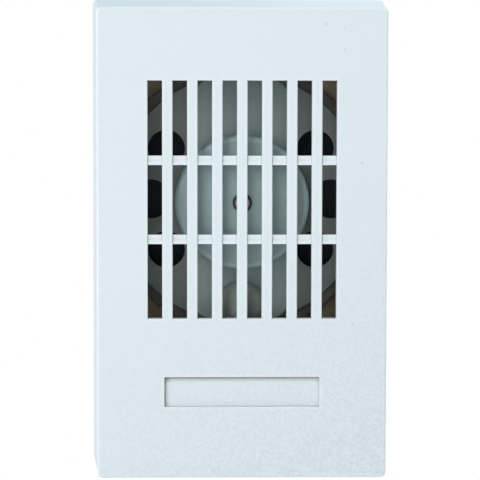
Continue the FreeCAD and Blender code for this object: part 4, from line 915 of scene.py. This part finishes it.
def knob_grid(start, axis, knurls):
    """The set screw's head, with ridges round it."""
    around = about_x(axis)
    steps = knurls * KNURL_STEPS
    points = []
    for radius, along in KNOB_PROFILE:
        for step in range(steps):
            turn = part_turn(step, steps)
            ridge = KNURL_HEIGHT * math.cos(knurls * turn) if 0 < along < KNOB_LENGTH else 0.0
            points.append(around((radius - KNURL_HEIGHT + ridge) * MM, start + along * MM, turn))
    return points, wound_faces(len(KNOB_PROFILE), steps)


def make_contacts(sizes):
    """The set screw gets a thread, a silver tip and a knurled, slotted head."""
    axis = (SET_LOW + SET_HIGH) / 2
    head_start = SET_HIGH.x - KNOB_LENGTH * MM
    tip_end = SET_LOW.x + TIP_LENGTH
    tip_profile = [(TIP_END_RADIUS, SET_LOW.x), (TIP_RADIUS, SET_LOW.x + TIP_BEVEL), (TIP_RADIUS, tip_end)]
    tip = lathe_grid(tip_profile, about_x(axis), SCREW_STEPS)
    thread = thread_grid(tip_end, head_start, axis, THREAD_RADIUS, sizes.thread_pitch)
    knob = knob_grid(head_start, axis, sizes.knurls)
    head = piece_from("set_screw_knob", knob, "brass", smooth=False)
    slot_low = (SET_HIGH.x - SLOT_DEPTH, axis.y - SLOT_HALF_LENGTH, axis.z - SLOT_HALF_WIDTH)
    slot_high = (SET_HIGH.x + MM, axis.y + SLOT_HALF_LENGTH, axis.z + SLOT_HALF_WIDTH)
    carve(head, piece_from("slot_cutter", box_grid(slot_low, slot_high), smooth=False))
    coat(head, "brass")
    settle(head, "base", "brass", "contact_screw")
    marks = [0] * len(thread[1]) + [1] * len(tip[1])
    shank_grid = join(thread, tip)
    shank = piece_from("set_screw_thread", shank_grid, "brass", "contact_silver", marks=marks)
    settle(shank, "base", "brass")
    dress("contact_lock_nut", "contact_spring", "contact_rivets")
    dress("contact_bracket", "contact_insulator", "bracket_screw")


def make_return_spring(sizes):
    """A close coil with a loop at each end, one over the armature's lug and one over the post."""
    low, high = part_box("return_spring")
    out, z = -middle("return_spring").y, middle("return_spring").z
    radius, wire, turns = sizes.spring_radius, sizes.spring_wire, sizes.spring_turns
    start, end = low.x + 2.95 * MM, high.x - 3.7 * MM
    left_centre, left_reach, left_turn = low.x + 1.55 * MM, 1.25 * MM, 420
    right_centre, right_reach, right_turn = high.x - 1.85 * MM, 1.5 * MM, 90
    loop_sweep, steps = 330, 32
    path = []
    for step in range(steps):
        turn = math.radians(left_turn - loop_sweep * step / steps)
        path.append((left_centre + left_reach * math.cos(turn), -out, z + radius * math.sin(turn)))
    for x, turn in coil_places(start, end, turns, steps):
        path.append((x, -out - radius * math.sin(turn), z + radius * math.cos(turn)))
    for step in range(1, steps + 1):
        turn = math.radians(right_turn - loop_sweep * step / steps)
        path.append((right_centre + right_reach * math.cos(turn), -out, z + radius * math.sin(turn)))
    coil = tube(path, wire, sides=10)
    spring = piece_from("return_spring_wire", coil, "spring_steel")
    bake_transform(spring)
    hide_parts("return_spring")
    dress("spring_post")


# Studio

# Width of the camera's sensor in mm, and what it sees from and to, in metres
SENSOR = 36.0
NEAREST, FURTHEST = 0.05, 20.0

# Each light: name, place and side in metres, the name of its power in the studio's values, and colour
LIGHTS = (
    ("key_light", (-0.4, -0.864, 0.55), 0.5, "key", WHITE),
    ("front_light", (-0.24, -1.06, 0.1), 0.7, "front", WHITE),
    ("fill_light", (0.8, -0.9, 0.1), 0.9, "fill", WHITE),
    ("top_light", (0.0, 0.12, 1.0), 0.6, "top", (0.74, 0.9, 1.0)),
    ("side_light", (-1.0, 0.3, 0.0), 0.6, "side", (0.96, 0.98, 1.0)),
    ("right_light", (1.0, 0.14, 0.1), 0.6, "right", WHITE),
    ("rear_light", (0.4, 0.9, 0.6), 0.9, "rear", WHITE),
)


def make_light(name, place, side, power, tint):
    """A square light that points at the middle of the object."""
    lamp = bpy.data.lights.new(name, "AREA")
    lamp.shape, lamp.size, lamp.energy, lamp.color = "SQUARE", side, power, tint
    light = bpy.data.objects.new(name, lamp)
    light.location = place
    light.rotation_mode = "QUATERNION"
    light.rotation_quaternion = (-Vector(place)).to_track_quat("-Z", "Y")
    bpy.context.scene.collection.objects.link(light)


def make_camera(studio):
    """The camera at the photograph's viewing angle."""
    lens = bpy.data.cameras.new("camera")
    lens.sensor_width, lens.lens = SENSOR, studio.lens
    lens.clip_start, lens.clip_end = NEAREST, FURTHEST
    camera = bpy.data.objects.new("camera", lens)
    turn, rise, roll = studio.azimuth, studio.elevation, studio.roll
    right = Vector((math.cos(turn), math.sin(turn), 0.0))
    back = Vector(
        (math.sin(turn) * math.cos(rise), -math.cos(turn) * math.cos(rise), math.sin(rise))
    )
    up = back.cross(right)
    right, up = (
        math.cos(roll) * right + math.sin(roll) * up, math.cos(roll) * up - math.sin(roll) * right,
    )
    place = (studio.camera_x, studio.camera_y, studio.camera_z)
    camera.matrix_world = Matrix.Translation(place) @ Matrix((right, up, back)).transposed().to_4x4()
    bpy.context.scene.collection.objects.link(camera)
    bpy.context.scene.camera = camera


def make_world(studio):
    """A white room: full white where the camera sees it, softer as a light."""
    world = bpy.data.worlds.new("white_room")
    world.use_nodes = True
    tree = world.node_tree
    tree.nodes.clear()
    lit = put(tree, "ShaderNodeBackground", {"Color": shaded(WHITE), "Strength": studio.ambient})
    seen = put(tree, "ShaderNodeBackground", {"Color": shaded(WHITE), "Strength": studio.backdrop})
    path = put(tree, "ShaderNodeLightPath")
    inputs = {0: path.outputs["Is Camera Ray"], 1: lit.outputs[0], 2: seen.outputs[0]}
    mixed = put(tree, "ShaderNodeMixShader", inputs)
    put(tree, "ShaderNodeOutputWorld", {"Surface": mixed.outputs[0]})
    bpy.context.scene.world = world


def make_floor(studio):
    """A plain pale floor well below the bell, which hangs at a wall's height."""
    half, drop = studio.floor_half, studio.floor_drop
    darkest, roughness = 0.97, 0.8
    corners = [(-half, -half, -drop), (half, -half, -drop), (half, half, -drop), (-half, half, -drop)]
    material = bpy.data.materials.new("floor_finish")
    material.use_nodes = True
    tree = material.node_tree
    point = put(tree, "ShaderNodeTexCoord").outputs["Object"]
    shade = stretch(tree, noise(tree, point, scale=6.0, detail=3.0), low=0.3, high=0.7)
    pale = bpy.context.scene.doorbell_colours.floor
    tint = blend_colours(tree, shade, shaded(pale, darkest), shaded(pale))
    feed(tree, tree.nodes["Principled BSDF"], {"Base Color": tint, "Roughness": roughness})
    floor = piece_from("floor", (corners, [(0, 1, 2, 3)]), smooth=False)
    floor.data.materials.append(material)


def make_stage(studio):
    """Camera, white room, floor and lights."""
    bpy.context.scene.view_settings.view_transform = "Standard"
    make_camera(studio)
    make_world(studio)
    make_floor(studio)
    for name, place, side, power, tint in LIGHTS:
        make_light(name, place, side, getattr(studio, power), tint)


# Operators


class DOORBELL_OT_stage(bpy.types.Operator):
    """Make the camera, the lights and the pale floor"""

    bl_idname = "doorbell.stage"
    bl_label = "Stage"

    def execute(self, context):
        make_stage(context.scene.doorbell_studio)
        return {"FINISHED"}


class DOORBELL_OT_cover(bpy.types.Operator):
    """Finish the moulded cover and the clips that hold it"""

    bl_idname = "doorbell.cover"
    bl_label = "Cover"

    def execute(self, context):
        dress("cover", "cover_clips")
        return {"FINISHED"}


class DOORBELL_OT_base(bpy.types.Operator):
    """Finish the base tray, its boards and cable grommet, and the screws put in from behind"""

    bl_idname = "doorbell.base"
    bl_label = "Base"

    def execute(self, context):
        dress("base_tray", "cable_grommet", "post_screw", "yoke_screws", "block_screw")
        dress("upper_board", "lower_board", "board_pillars", finish_name="board_brown")
        return {"FINISHED"}


class DOORBELL_OT_cup(bpy.types.Operator):
    """Finish the sound cup, its holed plate, the strap and its rivets"""

    bl_idname = "doorbell.cup"
    bl_label = "Sound Cup"

    def execute(self, context):
        dress("sound_cup", "cup_plate")
        dress("bell_strap", "strap_rivets", finish_name="strap_steel")
        return {"FINISHED"}


class DOORBELL_OT_bell(bpy.types.Operator):
    """Turn the bell's dome and finish its post and sleeve"""

    bl_idname = "doorbell.bell"
    bl_label = "Bell"

    def execute(self, context):
        make_bell(context.scene.doorbell_sizes)
        return {"FINISHED"}


class DOORBELL_OT_bell_fixing(bpy.types.Operator):
    """Finish the rubber bush, washer and screw in the bell's middle"""

    bl_idname = "doorbell.bell_fixing"
    bl_label = "Bell Fixing"

    def execute(self, context):
        dress("bell_grommet", "bell_screw")
        dress("bell_washer", finish_name="dark_steel")
        return {"FINISHED"}


class DOORBELL_OT_hammer(bpy.types.Operator):
    """Turn the hammer's ball and finish its arm and armature"""

    bl_idname = "doorbell.hammer"
    bl_label = "Hammer"

    def execute(self, context):
        make_hammer(context.scene.doorbell_sizes)
        return {"FINISHED"}


class DOORBELL_OT_magnet(bpy.types.Operator):
    """Finish the magnet's iron and bobbin, and wind its coil"""

    bl_idname = "doorbell.magnet"
    bl_label = "Magnet"

    def execute(self, context):
        dress("magnet_yoke", "coil_core", "coil_bobbin", "pivot_pin", "pin_clips")
        make_winding(context.scene.doorbell_sizes)
        return {"FINISHED"}


class DOORBELL_OT_leads(bpy.types.Operator):
    """Run the two sleeved leads from the terminals to the coil"""

    bl_idname = "doorbell.leads"
    bl_label = "Coil Leads"

    def execute(self, context):
        make_leads(context.scene.doorbell_sizes)
        return {"FINISHED"}


class DOORBELL_OT_contacts(bpy.types.Operator):
    """Cut the set screw's thread and finish the contacts"""

    bl_idname = "doorbell.contacts"
    bl_label = "Contacts"

    def execute(self, context):
        make_contacts(context.scene.doorbell_sizes)
        return {"FINISHED"}


class DOORBELL_OT_return_spring(bpy.types.Operator):
    """Wind the return spring between the armature and its post"""

    bl_idname = "doorbell.return_spring"
    bl_label = "Return Spring"

    def execute(self, context):
        make_return_spring(context.scene.doorbell_sizes)
        return {"FINISHED"}


class DOORBELL_OT_terminals(bpy.types.Operator):
    """Finish the terminal block, its clamps and screws"""

    bl_idname = "doorbell.terminals"
    bl_label = "Terminals"

    def execute(self, context):
        dress("terminal_block", "terminal_clamps", "terminal_screws")
        return {"FINISHED"}


STEPS = (
    DOORBELL_OT_stage, DOORBELL_OT_cover, DOORBELL_OT_base, DOORBELL_OT_cup, DOORBELL_OT_bell,
    DOORBELL_OT_bell_fixing, DOORBELL_OT_hammer, DOORBELL_OT_magnet, DOORBELL_OT_leads,
    DOORBELL_OT_contacts, DOORBELL_OT_return_spring, DOORBELL_OT_terminals,
)
GROUPS_OF_VALUES = {
    "doorbell_sizes": DoorbellSizes, "doorbell_colours": DoorbellColours,
    "doorbell_studio": DoorbellStudio,
}


class DOORBELL_PT_panel(bpy.types.Panel):
    """Lists the doorbell's values and its steps"""

    bl_idname = "DOORBELL_PT_panel"
    bl_label = "Doorbell"
    bl_space_type = "VIEW_3D"
    bl_region_type = "UI"
    bl_category = "Doorbell"

    def draw(self, context):
        layout = self.layout
        for step in STEPS:
            layout.operator(step.bl_idname)
        for name, group in GROUPS_OF_VALUES.items():
            box = layout.box()
            for value in group.__annotations__:
                box.prop(getattr(context.scene, name), value)


def register():
    for name, group in GROUPS_OF_VALUES.items():
        bpy.utils.register_class(group)
        setattr(bpy.types.Scene, name, bpy.props.PointerProperty(type=group))
    for step in STEPS:
        bpy.utils.register_class(step)
    bpy.utils.register_class(DOORBELL_PT_panel)


def unregister():
    bpy.utils.unregister_class(DOORBELL_PT_panel)
    for step in reversed(STEPS):
        bpy.utils.unregister_class(step)
    for name, group in GROUPS_OF_VALUES.items():
        delattr(bpy.types.Scene, name)
        bpy.utils.unregister_class(group)


def main():
    register()
    for step in STEPS:
        family, name = step.bl_idname.split(".")
        if getattr(getattr(bpy.ops, family), name)() != {"FINISHED"}:
            raise RuntimeError(f"{step.bl_label} did not finish")


if __name__ == "__main__":
    main()
